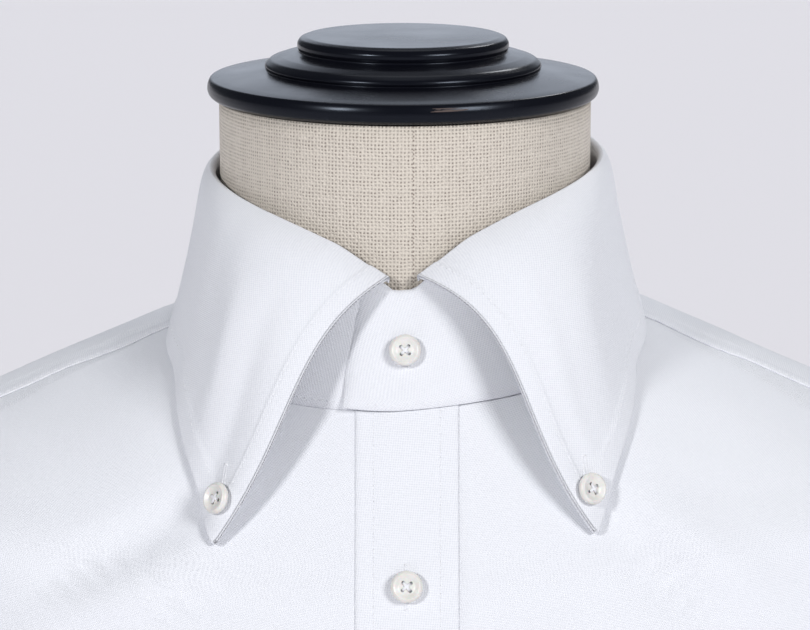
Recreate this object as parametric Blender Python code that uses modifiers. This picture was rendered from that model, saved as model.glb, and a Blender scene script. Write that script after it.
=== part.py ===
"""A long-sleeved button-down shirt on a limbless dress form that stands by itself on a round base.

Metres, +Z up, the front towards -Y, the wearer's left towards +X. The origin is the middle of the
base's underside. Tables are in millimetres and degrees, with a comment that names their columns.
"""

from math import atan, cos, exp, hypot, pi, radians, sin

import bmesh
import bpy
from mathutils import Matrix, Vector

MM = 0.001
WALL = 1.5 * MM          # body and sleeve cloth
COLLAR_WALL = 1.0 * MM   # two fused plies of the collar
SEAM = 0.3 * MM          # gap at seams and under what lies on a panel
HALF_SEAM = SEAM / 2 + 0.02 * MM

# Body of the shirt, inner face: height, half width, front, back, middle, power of the oval.
SHIRT = (
    (125, 197, 124, 122, 0, 2.30),
    (200, 196, 124, 122, 0, 2.30),
    (300, 192, 121, 118, 0, 2.30),
    (400, 185, 116, 110, 0, 2.30),
    (500, 179, 116, 104, 0, 2.30),
    (580, 182, 122, 108, 0, 2.30),
    (660, 188, 127, 116, 2, 2.30),
    (720, 194, 125, 119, 4, 2.40),
    (780, 201.5, 116.5, 118, 6, 2.45),
    (820, 208.5, 106, 113, 8, 2.30),
    (857.5, 207.5, 93, 103, 8, 2.05),
    (872, 174.1, 87, 96.5, 8, 2.00),
    (886, 141.9, 80.5, 88.5, 8, 1.95),
    (900, 109.6, 74, 80.5, 8, 1.90),
    (910, 86.6, 70, 74.5, 8, 1.85),
    (920, 63.8, 67.5, 69.5, 6, 1.85),
    (930, 60, 66, 68, 3, 1.90),
)

# Linen torso and neck: the same columns. The last row is the flat top of the neck.
TORSO = (
    (215, 138, 86, 90, 0, 2.2),
    (223, 151, 97, 101, 0, 2.2),
    (260, 163, 107, 110, 0, 2.2),
    (340, 160, 106, 106, 0, 2.2),
    (420, 150, 102, 96, 0, 2.2),
    (490, 145, 102, 90, 0, 2.2),
    (570, 152, 110, 96, 0, 2.2),
    (660, 163, 119, 108, 0, 2.2),
    (720, 168, 118, 112.5, 2, 2.3),
    (780, 178, 110.5, 113, 5, 2.4),
    (820, 188, 99, 107.5, 8, 2.3),
    (845, 195, 90, 101, 8, 2.15),
    (856, 196, 85.4, 97.5, 8, 2.05),
    (864.2, 187, 82.4, 94.6, 8, 2.0),
    (871.7, 170, 80, 91.6, 8, 2.0),
    (885.2, 139, 74.6, 84.1, 8, 1.95),
    (899.2, 106.6, 68.6, 76.1, 8, 1.90),
    (909, 82.6, 64, 70, 8, 1.85),
    (917, 64.4, 61.8, 65, 6, 1.9),
    (930, 60, 60.5, 61.5, 2, 2.0),
    (945, 59, 60, 60, 0, 2.0),
    (984.7, 59, 60, 60, 0, 2.0),
)

# The shirt sits a little askew, the wearer's left side higher.
ASKEW = 1.9 * MM
ASKEW_REACH = 60 * MM

# Neckline heights at the front, side and back, and the shirt's hem.
NECK_FRONT, NECK_SIDE, NECK_BACK = 902.5 * MM, 918.0 * MM, 925.0 * MM
TAIL_FRONT, TAIL_BACK, TAIL_SIDE = 150 * MM, 140 * MM, 215 * MM

# Armhole: heights and widths of its top and its lowest point, and how far it cuts in between them.
ARMHOLE_TOP, ARMHOLE_PIT = 858.6 * MM, 660 * MM
ARMHOLE_TOP_X, ARMHOLE_PIT_X = 204.5 * MM, 188 * MM
ARMHOLE_CUT_FRONT, ARMHOLE_CUT_BACK = 29 * MM, 17 * MM
ARMHOLE_RISE = 0.5          # how far its front points crowd towards the top
ARMHOLE_STEP = radians(18)  # the panels and the sleeve share points this far apart round it
YOKE_FRONT_TURN, YOKE_BACK_TURN = ARMHOLE_STEP, 2 * ARMHOLE_STEP
YOKE_NECK_ANGLE = radians(77)  # round the neck, from the front to the yoke's front seam

# Front opening
PLACKET_LEFT, PLACKET_RIGHT = -14.8 * MM, 16.0 * MM
PLACKET_DROP = 1.7 * MM      # its top edge lies this far below the neckline
OPENING = 13.5 * MM         # where the two fronts meet under the placket
PLACKET_MIDDLE = (PLACKET_LEFT + PLACKET_RIGHT) / 2
FRONT_ROWS, FRONT_LOW_ROWS = 20, 11   # rows of the fronts' grid, and those below the armhole
FRONT_COLUMNS, NECK_COLUMNS = 12, 4   # columns, and those that end at the neckline
BACK_COLUMNS, YOKE_COLUMNS = 16, 24
LEAF_COLUMNS, LEAF_ROWS, STAND_COLUMNS, STAND_ROWS = 40, 11, 44, 3
SLEEVE_ROWS, CUFF_COLUMNS = 15, 26
FRONT_BUTTONS = 6
FIRST_BUTTON, BUTTON_PITCH = 852 * MM, 90 * MM

# Ridge of the rolled collar: degrees from the front, height.
RIDGE = (
    (3, 939.0),
    (9, 943.5),
    (20, 951.0),
    (42, 958.5),
    (70, 963.5),
    (90, 965.5),
    (135, 969.0),
    (180, 970.0),
)
RIDGE_SIDE, RIDGE_FRONT, RIDGE_BACK = 62.6 * MM, 64.5 * MM, 64.5 * MM
ROLL_INNER = 1.8 * MM                    # half thickness of the roll inside its ridge
ROLL_SIDE, ROLL_FRONT = 2.5 * MM, 4.8 * MM   # how far the leaf bulges out below the ridge
SHIFT_SIDE, SHIFT_FRONT = 0.5 * MM, -0.5 * MM   # the collar's middle, off the form's

# Collar leaf, half of it: place along it from the front edge, ridge angle, edge angle, edge height,
# share of the front edge's bow, lift off the chest.
LEAF = (
    (0.00, 3.8, 16.4, 862.8, 1.00, 5.5),
    (0.08, 13, 19.0, 868.8, 0.90, 5.5),
    (0.18, 27, 23.7, 879.6, 0.70, 5.0),
    (0.30, 43, 32.6, 892.5, 0.40, 4.0),
    (0.42, 60, 46.8, 904.8, 0.15, 2.0),
    (0.51, 74, 61.0, 910.0, 0.00, 1.0),
    (0.57, 84, 73.0, 913.0, 0.00, 0.3),
    (0.63, 95, 90.0, 915.2, 0.00, 0.0),
    (0.73, 115, 115, 915.2, 0.00, 0.0),
    (0.87, 150, 148, 916.3, 0.00, 0.0),
    (1.00, 180, 180, 917.0, 0.00, 0.0),
)
LEAF_CLEAR, LEAF_BACK = 0.75 * MM, 1.2 * MM   # under the leaf's edge, and the rest of it at the back
BOW_LEFT, BOW_RIGHT = 9.3 * MM, 6.9 * MM  # by the wearer's side
BOW_LEAN = 2.7
LEAF_LEG = 0.14                          # share of the rows that lie inside the roll

# Collar stand
STAND_TOP_SIDE, STAND_TOP_FRONT, STAND_TOP_BACK = 60.8 * MM, 62.4 * MM, 62.8 * MM
STAND_NOTCH, STAND_NOTCH_WIDTH = 1.6 * MM, radians(9)   # its top dips where the leaves part
STAND_LAP = radians(14.5)                # past the front that each end reaches
STAND_END_LOW, STAND_END_TOP = 1.0 * MM, 9 * MM   # its ends are rounded off by this much
STAND_LAP_STEP = COLLAR_WALL + 1.3 * SEAM

# Sleeve: outer line x and z, inner line x and z, half width fore and aft, middle towards the back.
SLEEVE = (
    (238, 838, 193.5, 648, 78, 1),
    (262, 806, 195.5, 632, 82, 1),
    (279, 760, 197, 605, 83, 0),
    (286, 700, 200, 570, 80, -2),
    (287, 620, 205, 525, 75, -6),
    (285, 520, 210, 455, 69, -12),
    (282, 420, 214, 385, 63, -19),
    (278, 335, 218, 322, 57, -25),
    (270, 287, 222, 287, 50, -28),
)
CUFF_TOP, CUFF_BOTTOM = 286.6 * MM, 222 * MM
CUFF_MIDDLE = (246 * MM, -28 * MM)
CUFF_SIDE, CUFF_FORE = 20.5 * MM, 50 * MM
CUFF_LAP, CUFF_LAP_TURN = radians(16), radians(-50)   # half its lap, and where that lies
CUFF_FLARE = 1.5 * MM

# Folds of the body: face (-1 front, 1 back), first x and z, last x and z, half width, depth.
FOLDS = (
    (-1, -63, 873, -104, 851, 5.0, 2.6),
    (-1, -58, 862, -84, 842, 4.0, -1.6),
    (-1, -57, 858, -74, 838, 4.5, 1.8),
    (-1, 60, 871, 90, 838, 5.0, 2.4),
    (-1, 72, 871, 100, 845, 4.5, -1.5),
    (-1, -74, 909, -100, 903, 5.0, 1.2),
    (-1, 73, 908, 102, 903, 5.0, 1.2),
    (-1, -150, 740, -120, 560, 13, 4.0),
    (-1, 148, 735, 118, 540, 13, 4.0),
    (-1, -95, 560, -110, 260, 15, 4.5),
    (-1, 100, 540, 112, 250, 15, 4.5),
    (-1, -45, 430, -52, 190, 13, 3.0),
    (-1, 55, 410, 58, 190, 13, 3.0),
    (1, -130, 800, -95, 600, 14, 4.5),
    (1, 126, 800, 98, 610, 14, 4.5),
    (1, -100, 590, -112, 240, 16, 5.0),
    (1, 104, 580, 110, 250, 16, 5.0),
    (1, -38, 620, -44, 230, 15, 4.0),
    (1, 42, 610, 40, 220, 15, 4.0),
)

# Folds of a sleeve: first degrees round and share along, last ones, half width in degrees, depth.
SLEEVE_FOLDS = (
    (60, 0.06, 95, 0.42, 16, 4.0),
    (115, 0.05, 150, 0.30, 14, 4.5),
    (240, 0.06, 215, 0.34, 15, 4.5),
    (300, 0.08, 268, 0.46, 16, 3.5),
    (40, 0.55, 120, 0.62, 14, 3.5),
    (250, 0.52, 330, 0.60, 14, 3.0),
    (80, 0.75, 70, 1.00, 13, 3.5),
    (275, 0.72, 285, 1.00, 13, 3.5),
)

# Black turned cap on the neck, base and pole: radius and height above the foot of each.
CAP_FOOT = 985 * MM
CAP_SHIFT = -0.6 * MM
CAP = (
    (0, 19.5), (30.6, 19.5), (32.9, 18.4), (33.7, 16.2), (33.0, 14.4), (35.2, 13.6), (41.6, 13.3),
    (43.6, 12.2), (43.9, 10.4), (43.0, 9.0), (47, 8.2), (57, 7.4), (60.6, 6.6), (62.1, 4.6),
    (61.4, 2.0), (59.4, 0.3), (57, 0), (0, 0),
)
BASE = (
    (0, 24), (22, 24), (24, 22), (40, 20.5), (120, 17), (152, 15), (160, 12.5), (164, 8), (165, 3.5),
    (163.5, 0.6), (162, 0), (0, 0),
)
POLE_FOOT = 24.3 * MM
POLE = (
    (0, 190.4), (46, 190.4), (46, 186), (40, 184), (17, 180), (14, 174), (14, 26), (16, 20), (19, 10),
    (19, 0), (0, 0),
)

TORSO_AROUND, FORM_STEPS, POLE_STEPS = 28, 32, 18

# Buttons: radius, thickness, and their turned outline, as shares of these, from the hollow face down.
BUTTON_RADIUS, BUTTON_THICK, BUTTON_STEPS = 5.0 * MM, 3.0 * MM, 14
BUTTON = (
    (0, 0.62), (0.52, 0.62), (0.66, 0.95), (0.84, 1), (1, 0.7), (0.94, 0.25), (0.6, 0), (0, 0),
)
STAND_BUTTON_HEIGHT = 0.52     # share of the stand's height
COLLAR_BUTTON_LIFT = 0.6 * MM
COLLAR_BUTTON_ALONG, COLLAR_BUTTON_DOWN = 0.075, 0.935


def curve_through(rows, at, column):
    """The column's value at a place in the first column, on a smooth curve through the rows."""
    last = len(rows) - 1
    if at <= rows[0][0]:
        return rows[0][column]
    if at >= rows[last][0]:
        return rows[last][column]
    i = max(k for k in range(last) if rows[k][0] <= at)

    def slope(k):
        if k == 0 or k == last:
            j = min(k, last - 1)
            return (rows[j + 1][column] - rows[j][column]) / (rows[j + 1][0] - rows[j][0])
        before = (rows[k][column] - rows[k - 1][column]) / (rows[k][0] - rows[k - 1][0])
        after = (rows[k + 1][column] - rows[k][column]) / (rows[k + 1][0] - rows[k][0])
        return 0.0 if before * after <= 0 else 2 * before * after / (before + after)

    span = rows[i + 1][0] - rows[i][0]
    t = (at - rows[i][0]) / span
    start, end = rows[i][column], rows[i + 1][column]
    return (
        start * (1 + 2 * t) * (1 - t) ** 2
        + end * t * t * (3 - 2 * t)
        + slope(i) * span * t * (1 - t) ** 2
        - slope(i + 1) * span * t * t * (1 - t)
    )


def section(rows, z):
    """Half width, front, back and middle in metres, and the power, of the oval at a height."""
    sizes = [curve_through(rows, z / MM, column) for column in range(1, 6)]
    return [size * MM for size in sizes[:4]] + [sizes[4]]


def on_oval(rows, angle, z):
    """A point of the oval at this height: angle 0 is the front, and it grows towards +X."""
    half_width, front, back, middle, power = section(rows, z)
    size = (abs(sin(angle)) ** power + abs(cos(angle)) ** power) ** (1 / power)
    depth = front + middle if cos(angle) > 0 else back - middle
    return Vector((half_width * sin(angle) / size, middle - depth * cos(angle) / size, z))


def askew(x):
    share = x / ASKEW_REACH
    return 2 * ASKEW * share / (1 + share * share)


def angle_of_x(x, z):
    """The angle round the shirt's front at which it is this far from the middle."""
    half_width, power = section(SHIRT, z)[0], section(SHIRT, z)[4]
    share = min(abs(x) / half_width, 0.9999) ** power
    angle = atan((share / (1 - share)) ** (1 / power))
    return angle if x > 0 else -angle


def fold_depth(point):
    """How far the cloth falls inwards at a point of the body."""
    depth = 0.0
    for face, x0, z0, x1, z1, half_width, deep in FOLDS:
        if face * point.y < 0:
            continue
        along_x, along_z = x1 - x0, z1 - z0
        x, z = point.x / MM - x0, point.z / MM - z0
        length = hypot(along_x, along_z)
        along = (x * along_x + z * along_z) / length
        across = (x * along_z - z * along_x) / length
        past = max(-along, along - length, 0) / half_width
        middle = min(max(along / length, 0), 1)
        depth += deep * exp(-(across / half_width) ** 2 - past ** 2) * (0.55 + 0.45 * sin(pi * middle))
    return depth * MM


def opening_height(v):
    """The height of a row of the fronts, and of the placket on them, at the front opening."""
    low_share = FRONT_LOW_ROWS / FRONT_ROWS
    if v <= low_share:
        return TAIL_FRONT + (ARMHOLE_PIT - TAIL_FRONT) * v / low_share
    return ARMHOLE_PIT + (NECK_FRONT - ARMHOLE_PIT) * (v - low_share) / (1 - low_share)


def normal_of(surface, a, b, step=0.0008):
    """The unit normal of surface(a, b), on the side that its two directions turn towards."""
    across = surface(a + step, b) - surface(a - step, b)
    along = surface(a, b + step) - surface(a, b - step)
    return across.cross(along).normalized()


def shirt_bare(angle, z):
    point = on_oval(SHIRT, angle, z)
    point.z += askew(point.x)
    return point


def shirt_at(angle, z, out=0.0):
    """A point of the shirt's body, folds included, moved out of its inner face."""
    point = shirt_bare(angle, z)
    return point + normal_of(shirt_bare, angle, z) * (out - fold_depth(point))


def neckline(angle):
    """The height of the neckline on the shirt, by the angle round it."""
    if cos(angle) > 0:
        return NECK_FRONT + (NECK_SIDE - NECK_FRONT) * sin(angle) ** 2
    return NECK_SIDE + (NECK_BACK - NECK_SIDE) * cos(angle) ** 2


def hem(angle):
    tail = TAIL_FRONT if cos(angle) > 0 else TAIL_BACK
    return tail + (TAIL_SIDE - tail) * sin(angle) ** 4


def armhole(turn):
    """The angle round the shirt and the height of the left armhole: turn 0 is its top, pi its pit.

    It runs down the front for a positive turn and down the back for a negative one.
    """
    if sin(turn) > 0:
        turn -= ARMHOLE_RISE * sin(turn)
    rise = (1 + cos(turn)) / 2
    z = ARMHOLE_PIT + (ARMHOLE_TOP - ARMHOLE_PIT) * rise
    cut = ARMHOLE_CUT_FRONT if sin(turn) > 0 else ARMHOLE_CUT_BACK
    x = ARMHOLE_PIT_X + (ARMHOLE_TOP_X - ARMHOLE_PIT_X) * rise - cut * sin(turn) ** 2
    angle = angle_of_x(x, z) if abs(sin(turn)) > 1e-6 else pi / 2
    return (angle if sin(turn) >= 0 else pi - angle), z


def material(name, colour, roughness, metallic=0.0):
    made = bpy.data.materials.new(name)
    made.use_nodes = True
    shader = made.node_tree.nodes["Principled BSDF"]
    shader.inputs["Base Color"].default_value = (*colour, 1)
    shader.inputs["Roughness"].default_value = roughness
    shader.inputs["Metallic"].default_value = metallic
    return made


def finish(name, bm, finish_material):
    if bm.calc_volume(signed=True) < 0:
        bmesh.ops.reverse_faces(bm, faces=bm.faces)
    mesh = bpy.data.meshes.new(name)
    bm.to_mesh(mesh)
    bm.free()
    mesh.shade_smooth()
    mesh.set_sharp_from_angle(angle=radians(40))
    mesh.materials.append(finish_material)
    piece = bpy.data.objects.new(name, mesh)
    parts.objects.link(piece)
    return piece


def cloth(name, columns, rows, place, finish_material, pulled=("left", "right", "bottom", "top"), ring=False):
    """A wall of cloth: a flat slab whose points place(u, v, depth) carries to the garment.

    u and v run from 0 to 1 across and up the panel, and depth from 0 inside to 1 outside. The edges
    in pulled are drawn in by half a seam's gap, and a ring is closed from u 1 to u 0.
    """
    bm = bmesh.new()
    bmesh.ops.create_grid(bm, x_segments=columns, y_segments=rows, size=0.5)
    outer = bmesh.ops.extrude_face_region(bm, geom=bm.faces[:])["geom"]
    outer = [part for part in outer if isinstance(part, bmesh.types.BMVert)]
    bmesh.ops.translate(bm, verts=outer, vec=(0, 0, 1))
    bmesh.ops.recalc_face_normals(bm, faces=bm.faces)
    if ring:
        ends = [
            face for face in bm.faces
            if all(v.co.x > 0.499 for v in face.verts) or all(v.co.x < -0.499 for v in face.verts)
        ]
        bmesh.ops.delete(bm, geom=ends, context="FACES_ONLY")
    for vert in bm.verts:
        u, v, depth = vert.co.x + 0.5, vert.co.y + 0.5, vert.co.z
        point = place(u, v, depth)
        for edge, at, inside in (
            ("left", u < 0.001, (1 / columns, v)),
            ("right", u > 0.999, (1 - 1 / columns, v)),
            ("bottom", v < 0.001, (u, 1 / rows)),
            ("top", v > 0.999, (u, 1 - 1 / rows)),
        ):
            if at and edge in pulled and not (ring and edge in ("left", "right")):
                point += (place(*inside, depth) - place(u, v, depth)).normalized() * HALF_SEAM
        vert.co = point
    if ring:
        bmesh.ops.remove_doubles(bm, verts=bm.verts, dist=0.00001)
    return finish(name, bm, finish_material)


def lofted(name, rows, around, steps, finish_material):
    """A closed solid through the ovals of a table, flat at both ends."""
    bm = bmesh.new()
    bmesh.ops.create_grid(bm, x_segments=around, y_segments=steps, size=0.5)
    lowest, highest = rows[0][0], rows[-1][0]
    for vert in bm.verts:
        share = vert.co.y + 0.5
        place = share * (len(rows) - 1)
        row = min(int(place), len(rows) - 2)
        z = rows[row][0] + (place - row) * (rows[row + 1][0] - rows[row][0])
        z = min(max(z, lowest), highest) * MM
        point = on_oval(rows, vert.co.x * 2 * pi, z)
        fade = min(max((945 * MM - z) / (40 * MM), 0), 1)
        vert.co = point + Vector((0, 0, askew(point.x) * fade * min(z / (600 * MM), 1)))
    for vert in bm.verts:
        if vert.co.z < lowest * MM + 0.003:
            vert.co.z = lowest * MM
    bmesh.ops.remove_doubles(bm, verts=bm.verts, dist=0.00001)
    rims = [edge for edge in bm.edges if edge.is_boundary]
    bmesh.ops.holes_fill(bm, edges=rims, sides=0)
    bmesh.ops.recalc_face_normals(bm, faces=bm.faces)
    return finish(name, bm, finish_material)


def turned(name, profile, foot, steps, finish_material):
    """A solid of revolution from a profile of radii and heights that runs down its outer side."""
    mesh = bpy.data.meshes.new(name)
    bm = bmesh.new()
    points = [bm.verts.new((radius * MM, 0, height * MM)) for radius, height in profile]
    for above, below in zip(points, points[1:]):
        bm.edges.new((above, below))
    bm.to_mesh(mesh)
    bm.free()
    mesh.materials.append(finish_material)
    piece = bpy.data.objects.new(name, mesh)
    piece.location = (0, 0, foot)
    spin = piece.modifiers.new("turned", "SCREW")
    spin.steps = spin.render_steps = steps
    spin.use_merge_vertices = True
    spin.merge_threshold = 0.0001
    spin.use_smooth_shade = True
    parts.objects.link(piece)
    return piece


def front_panel(side):
    """One front. side is 1 for the wearer's left. Its top is the neckline and the yoke's front seam."""
    low_share = FRONT_LOW_ROWS / FRONT_ROWS
    neck_share = NECK_COLUMNS / FRONT_COLUMNS

    def opening_at(z):
        """The opening's angle on this side, negative where it lies past the middle."""
        return side * angle_of_x(OPENING, z)

    def top_edge(u):
        if u <= neck_share:
            start = opening_at(NECK_FRONT)
            angle = start + (YOKE_NECK_ANGLE - start) * u / neck_share
            return angle, neckline(angle)
        share = (u - neck_share) / (1 - neck_share)
        angle, z = armhole(YOKE_FRONT_TURN)
        corner = neckline(YOKE_NECK_ANGLE)
        return YOKE_NECK_ANGLE + (angle - YOKE_NECK_ANGLE) * share, corner + (z - corner) * share

    def place(u, v, depth):
        if v <= low_share:
            opening = opening_at(opening_height(v))
            low = hem(opening + (pi / 2 - opening) * u)
            z = low + (ARMHOLE_PIT - low) * v / low_share
            angle = opening + (pi / 2 - opening) * u
        else:
            w = (v - low_share) / (1 - low_share)
            left, left_z = opening_at(opening_height(v)), opening_height(v)
            right, right_z = armhole(pi - (pi - YOKE_FRONT_TURN) * w)
            top, top_z = top_edge(u)
            low = opening_at(ARMHOLE_PIT)
            low_angle = low + (pi / 2 - low) * u
            corner, corner_z = top_edge(0)
            far, far_z = top_edge(1)
            angle = (
                (1 - w) * low_angle + w * top + (1 - u) * left + u * right
                - (1 - w) * low_angle - w * ((1 - u) * corner + u * far)
            )
            z = w * top_z + (1 - u) * left_z + u * right_z - w * ((1 - u) * corner_z + u * far_z)
        return shirt_at(side * angle, z, depth * WALL)

    name = "front_left" if side > 0 else "front_right"
    return cloth(name, FRONT_COLUMNS, FRONT_ROWS, place, COTTON)


def back_panel():
    """The back, from side seam to side seam and from the tail to the yoke's back seam."""
    low_rows = FRONT_LOW_ROWS
    rows = low_rows + round((pi - YOKE_BACK_TURN) / ARMHOLE_STEP)
    top_height = armhole(-YOKE_BACK_TURN)[1]

    def place(u, v, depth):
        lean = 2 * u - 1
        if v <= low_rows / rows:
            angle = pi + lean * pi / 2
            low = hem(angle)
            z = low + (ARMHOLE_PIT - low) * v * rows / low_rows
        else:
            w = (v * rows - low_rows) / (rows - low_rows)
            edge, edge_z = armhole(-(pi - (pi - YOKE_BACK_TURN) * w))
            angle = pi + lean * (pi - edge)
            flat = ARMHOLE_PIT + (top_height - ARMHOLE_PIT) * w
            z = edge_z * abs(lean) + flat * (1 - abs(lean))
        return shirt_at(angle, z, depth * WALL)

    return cloth("back", BACK_COLUMNS, rows, place, COTTON)


def yoke_panel():
    """The yoke, from the neckline outwards, along a path from one front seam round the back."""
    ridge, corner = 4 / YOKE_COLUMNS, 8 / YOKE_COLUMNS

    def outer_edge(share):
        if share <= ridge:
            return armhole(YOKE_FRONT_TURN * (1 - share / ridge))
        if share <= corner:
            return armhole(-YOKE_BACK_TURN * (share - ridge) / (corner - ridge))
        angle, z = armhole(-YOKE_BACK_TURN)
        return angle + (pi - angle) * (share - corner) / (1 - corner), z

    def inner_angle(share):
        if share <= ridge:
            return YOKE_NECK_ANGLE + (pi / 2 - YOKE_NECK_ANGLE) * share / ridge
        return pi / 2 + (share - ridge) / (1 - ridge) * pi / 2

    def place(u, v, depth):
        side = -1 if u < 0.5 else 1
        share = 2 * u if u < 0.5 else 2 - 2 * u
        inner = inner_angle(share)
        outer, outer_z = outer_edge(share)
        angle = inner + (outer - inner) * v
        z = neckline(inner) + (outer_z - neckline(inner)) * v
        return shirt_at(side * angle, z, depth * WALL)

    return cloth("yoke", YOKE_COLUMNS, FRONT_COLUMNS - NECK_COLUMNS, place, COTTON)


def placket():
    """The band down the left front, which lies on both fronts."""
    def place(u, v, depth):
        x = PLACKET_LEFT + (PLACKET_RIGHT - PLACKET_LEFT) * u
        z = opening_height(v)
        if v > 0.999:
            z -= PLACKET_DROP
        return shirt_at(angle_of_x(x, z), z, WALL + SEAM + depth * WALL)

    return cloth("placket", 2, FRONT_ROWS, place, COTTON, pulled=())


def collar_shift(angle):
    return SHIFT_SIDE + (SHIFT_FRONT - SHIFT_SIDE) * max(cos(angle), 0)


def ridge_point(angle):
    """The top of the collar's roll, and the level direction out of it."""
    ry = RIDGE_FRONT if cos(angle) > 0 else RIDGE_BACK
    point = Vector((RIDGE_SIDE * sin(angle), -ry * cos(angle), 0))
    out = Vector((point.x / RIDGE_SIDE ** 2, point.y / ry ** 2, 0)).normalized()
    point.z = curve_through(RIDGE, abs(angle) * 180 / pi, 1) * MM
    point.z += askew(point.x)
    point.x += collar_shift(angle)
    return point, out


def collar_stand():
    """The band round the neck, its left end over its right one at the front."""
    def surface(u, v):
        angle = STAND_LAP * (2 * u - 1) + 2 * pi * u
        lap = 0.0
        if angle < 3 * STAND_LAP:
            lap = -0.5 * (1 - angle / (3 * STAND_LAP))
        if angle > 2 * pi - 3 * STAND_LAP:
            lap = 0.5 * (1 + (angle - 2 * pi) / (3 * STAND_LAP))
        inside = STAND_LAP_STEP * (lap + abs(lap) * (1 - v))
        round_angle = angle - 2 * pi if angle > pi else angle
        low = shirt_at(-round_angle, neckline(round_angle) - 0.5 * MM, WALL + 2 * SEAM)
        ridge, out = ridge_point(-round_angle)
        top_y = STAND_TOP_FRONT if cos(angle) > 0 else STAND_TOP_BACK
        top = Vector((-STAND_TOP_SIDE * sin(angle), -top_y * cos(angle), 0))
        top.x += collar_shift(angle)
        top.z = ridge.z - ROLL_INNER - SEAM - STAND_NOTCH * exp(-(round_angle / STAND_NOTCH_WIDTH) ** 2)
        past = max(abs(u - 0.5) * 2 * (pi + STAND_LAP) - pi, 0) / STAND_LAP
        low.z += STAND_END_LOW * past ** 2
        top.z -= STAND_END_TOP * past ** 3
        return low + (top - low) * v + out * inside

    def place(u, v, depth):
        step = 0.0015
        inner_u = min(max(u, step), 1 - step)
        inner_v = min(max(v, 0.02), 0.98)
        normal = normal_of(surface, inner_u, inner_v, step)
        normal.z *= 0.3
        return surface(u, v) - normal.normalized() * (depth * COLLAR_WALL)

    return cloth("collar_stand", STAND_COLUMNS, STAND_ROWS, place, COTTON, pulled=())


def leaf_surface(u, v):
    """The outer face of the collar leaf: u from the wearer's right point to the left, v to the edge."""
    side = -1 if u < 0.5 else 1
    along = 2 * u if u < 0.5 else 2 - 2 * u
    ridge_angle, edge_angle, edge_z, bow, lift = [
        curve_through(LEAF, along, column) for column in range(1, 6)
    ]
    ridge, out = ridge_point(side * radians(ridge_angle))
    if v < LEAF_LEG:
        turn = v / LEAF_LEG * pi / 2
        return ridge + (out * -cos(turn) + Vector((0, 0, sin(turn) - 1))) * ROLL_INNER
    reach = WALL + LEAF_CLEAR + COLLAR_WALL + LEAF_BACK * max(-cos(radians(edge_angle)), 0)
    edge = shirt_at(side * radians(edge_angle), edge_z * MM, reach)
    edge.x += SHIFT_SIDE * sin(radians(edge_angle)) ** 2
    share = ((v - LEAF_LEG) / (1 - LEAF_LEG)) ** 1.5
    fall = edge - ridge
    peak = (BOW_LEAN / (1 + BOW_LEAN)) ** BOW_LEAN / (1 + BOW_LEAN)
    bowed = (BOW_LEFT if side > 0 else BOW_RIGHT) * bow * share * (1 - share) ** BOW_LEAN / peak
    sideways = Vector((side * abs(fall.z), 0, abs(fall.x))).normalized()
    facing = abs(cos(radians(ridge_angle)))
    bulge = ROLL_SIDE + (ROLL_FRONT - ROLL_SIDE) * facing
    rolled = bulge * (1 - share) ** (3 - 2 * facing) * (1 - exp(-share * fall.length / bulge))
    lifted = Vector((0, -lift * MM, 0)) * 4 * share * (1 - share)
    return ridge + fall * share + out * rolled + sideways * bowed + lifted


def collar_leaf():
    def place(u, v, depth):
        step = 0.002
        inner_u = min(max(u, step), 1 - step)
        if abs(inner_u - 0.5) < step:
            inner_u = 0.5 - step
        inner_v = min(max(v, step), 1 - step)
        normal = normal_of(leaf_surface, inner_u, inner_v, step)
        return leaf_surface(u, v) - normal * ((1 - depth) * COLLAR_WALL)

    return cloth("collar_leaf", LEAF_COLUMNS, LEAF_ROWS, place, COTTON, pulled=())


def sleeve_bare(turn, share, side):
    """The sleeve's inner face: turn 0 runs down its outer side and pi down the underarm seam."""
    point_on_body = armhole(turn if turn <= pi else turn - 2 * pi)
    start = shirt_at(side * point_on_body[0], point_on_body[1], WALL + SEAM)
    if share <= 0:
        return start
    rows = [(i, *row) for i, row in enumerate(SLEEVE, start=1)]
    at = share * len(rows)
    first = at < 1
    outer_x, outer_z, inner_x, inner_z, fore, middle = [
        curve_through(rows, max(at, 1), column) * MM for column in range(1, 7)
    ]
    outer, inner = Vector((outer_x, middle, outer_z)), Vector((inner_x, middle, inner_z))
    centre, reach = (outer + inner) / 2, (outer - inner) / 2
    point = centre + reach * cos(turn) - Vector((0, fore * sin(turn), 0))
    point.x *= side
    return start + (point - start) * at if first else point


def sleeve(side):
    def place(u, v, depth):
        turn = u * 2 * pi

        def surface(a, b):
            return sleeve_bare(a % (2 * pi), b, side)

        inner_v = min(max(v, 0.01), 0.99)
        normal = normal_of(surface, turn, inner_v, 0.004) * -side
        dent = 0.0
        for turn0, share0, turn1, share1, half_width, deep in SLEEVE_FOLDS:
            part = min(max((v - share0) / (share1 - share0), 0), 1)
            off = (u * 360 - turn0 - (turn1 - turn0) * part + 180) % 360 - 180
            off /= half_width
            past = max(share0 - v, v - share1, 0) / 0.05
            dent += deep * MM * exp(-off * off - past * past)
        dent *= min(v * 8, 1) * min((1 - v) * 6 + 0.25, 1)
        return surface(turn, v) + normal * (depth * WALL - dent)

    name = "sleeve_left" if side > 0 else "sleeve_right"
    return cloth(name, round(2 * pi / ARMHOLE_STEP), SLEEVE_ROWS, place, COTTON, pulled=("top",), ring=True)


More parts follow.
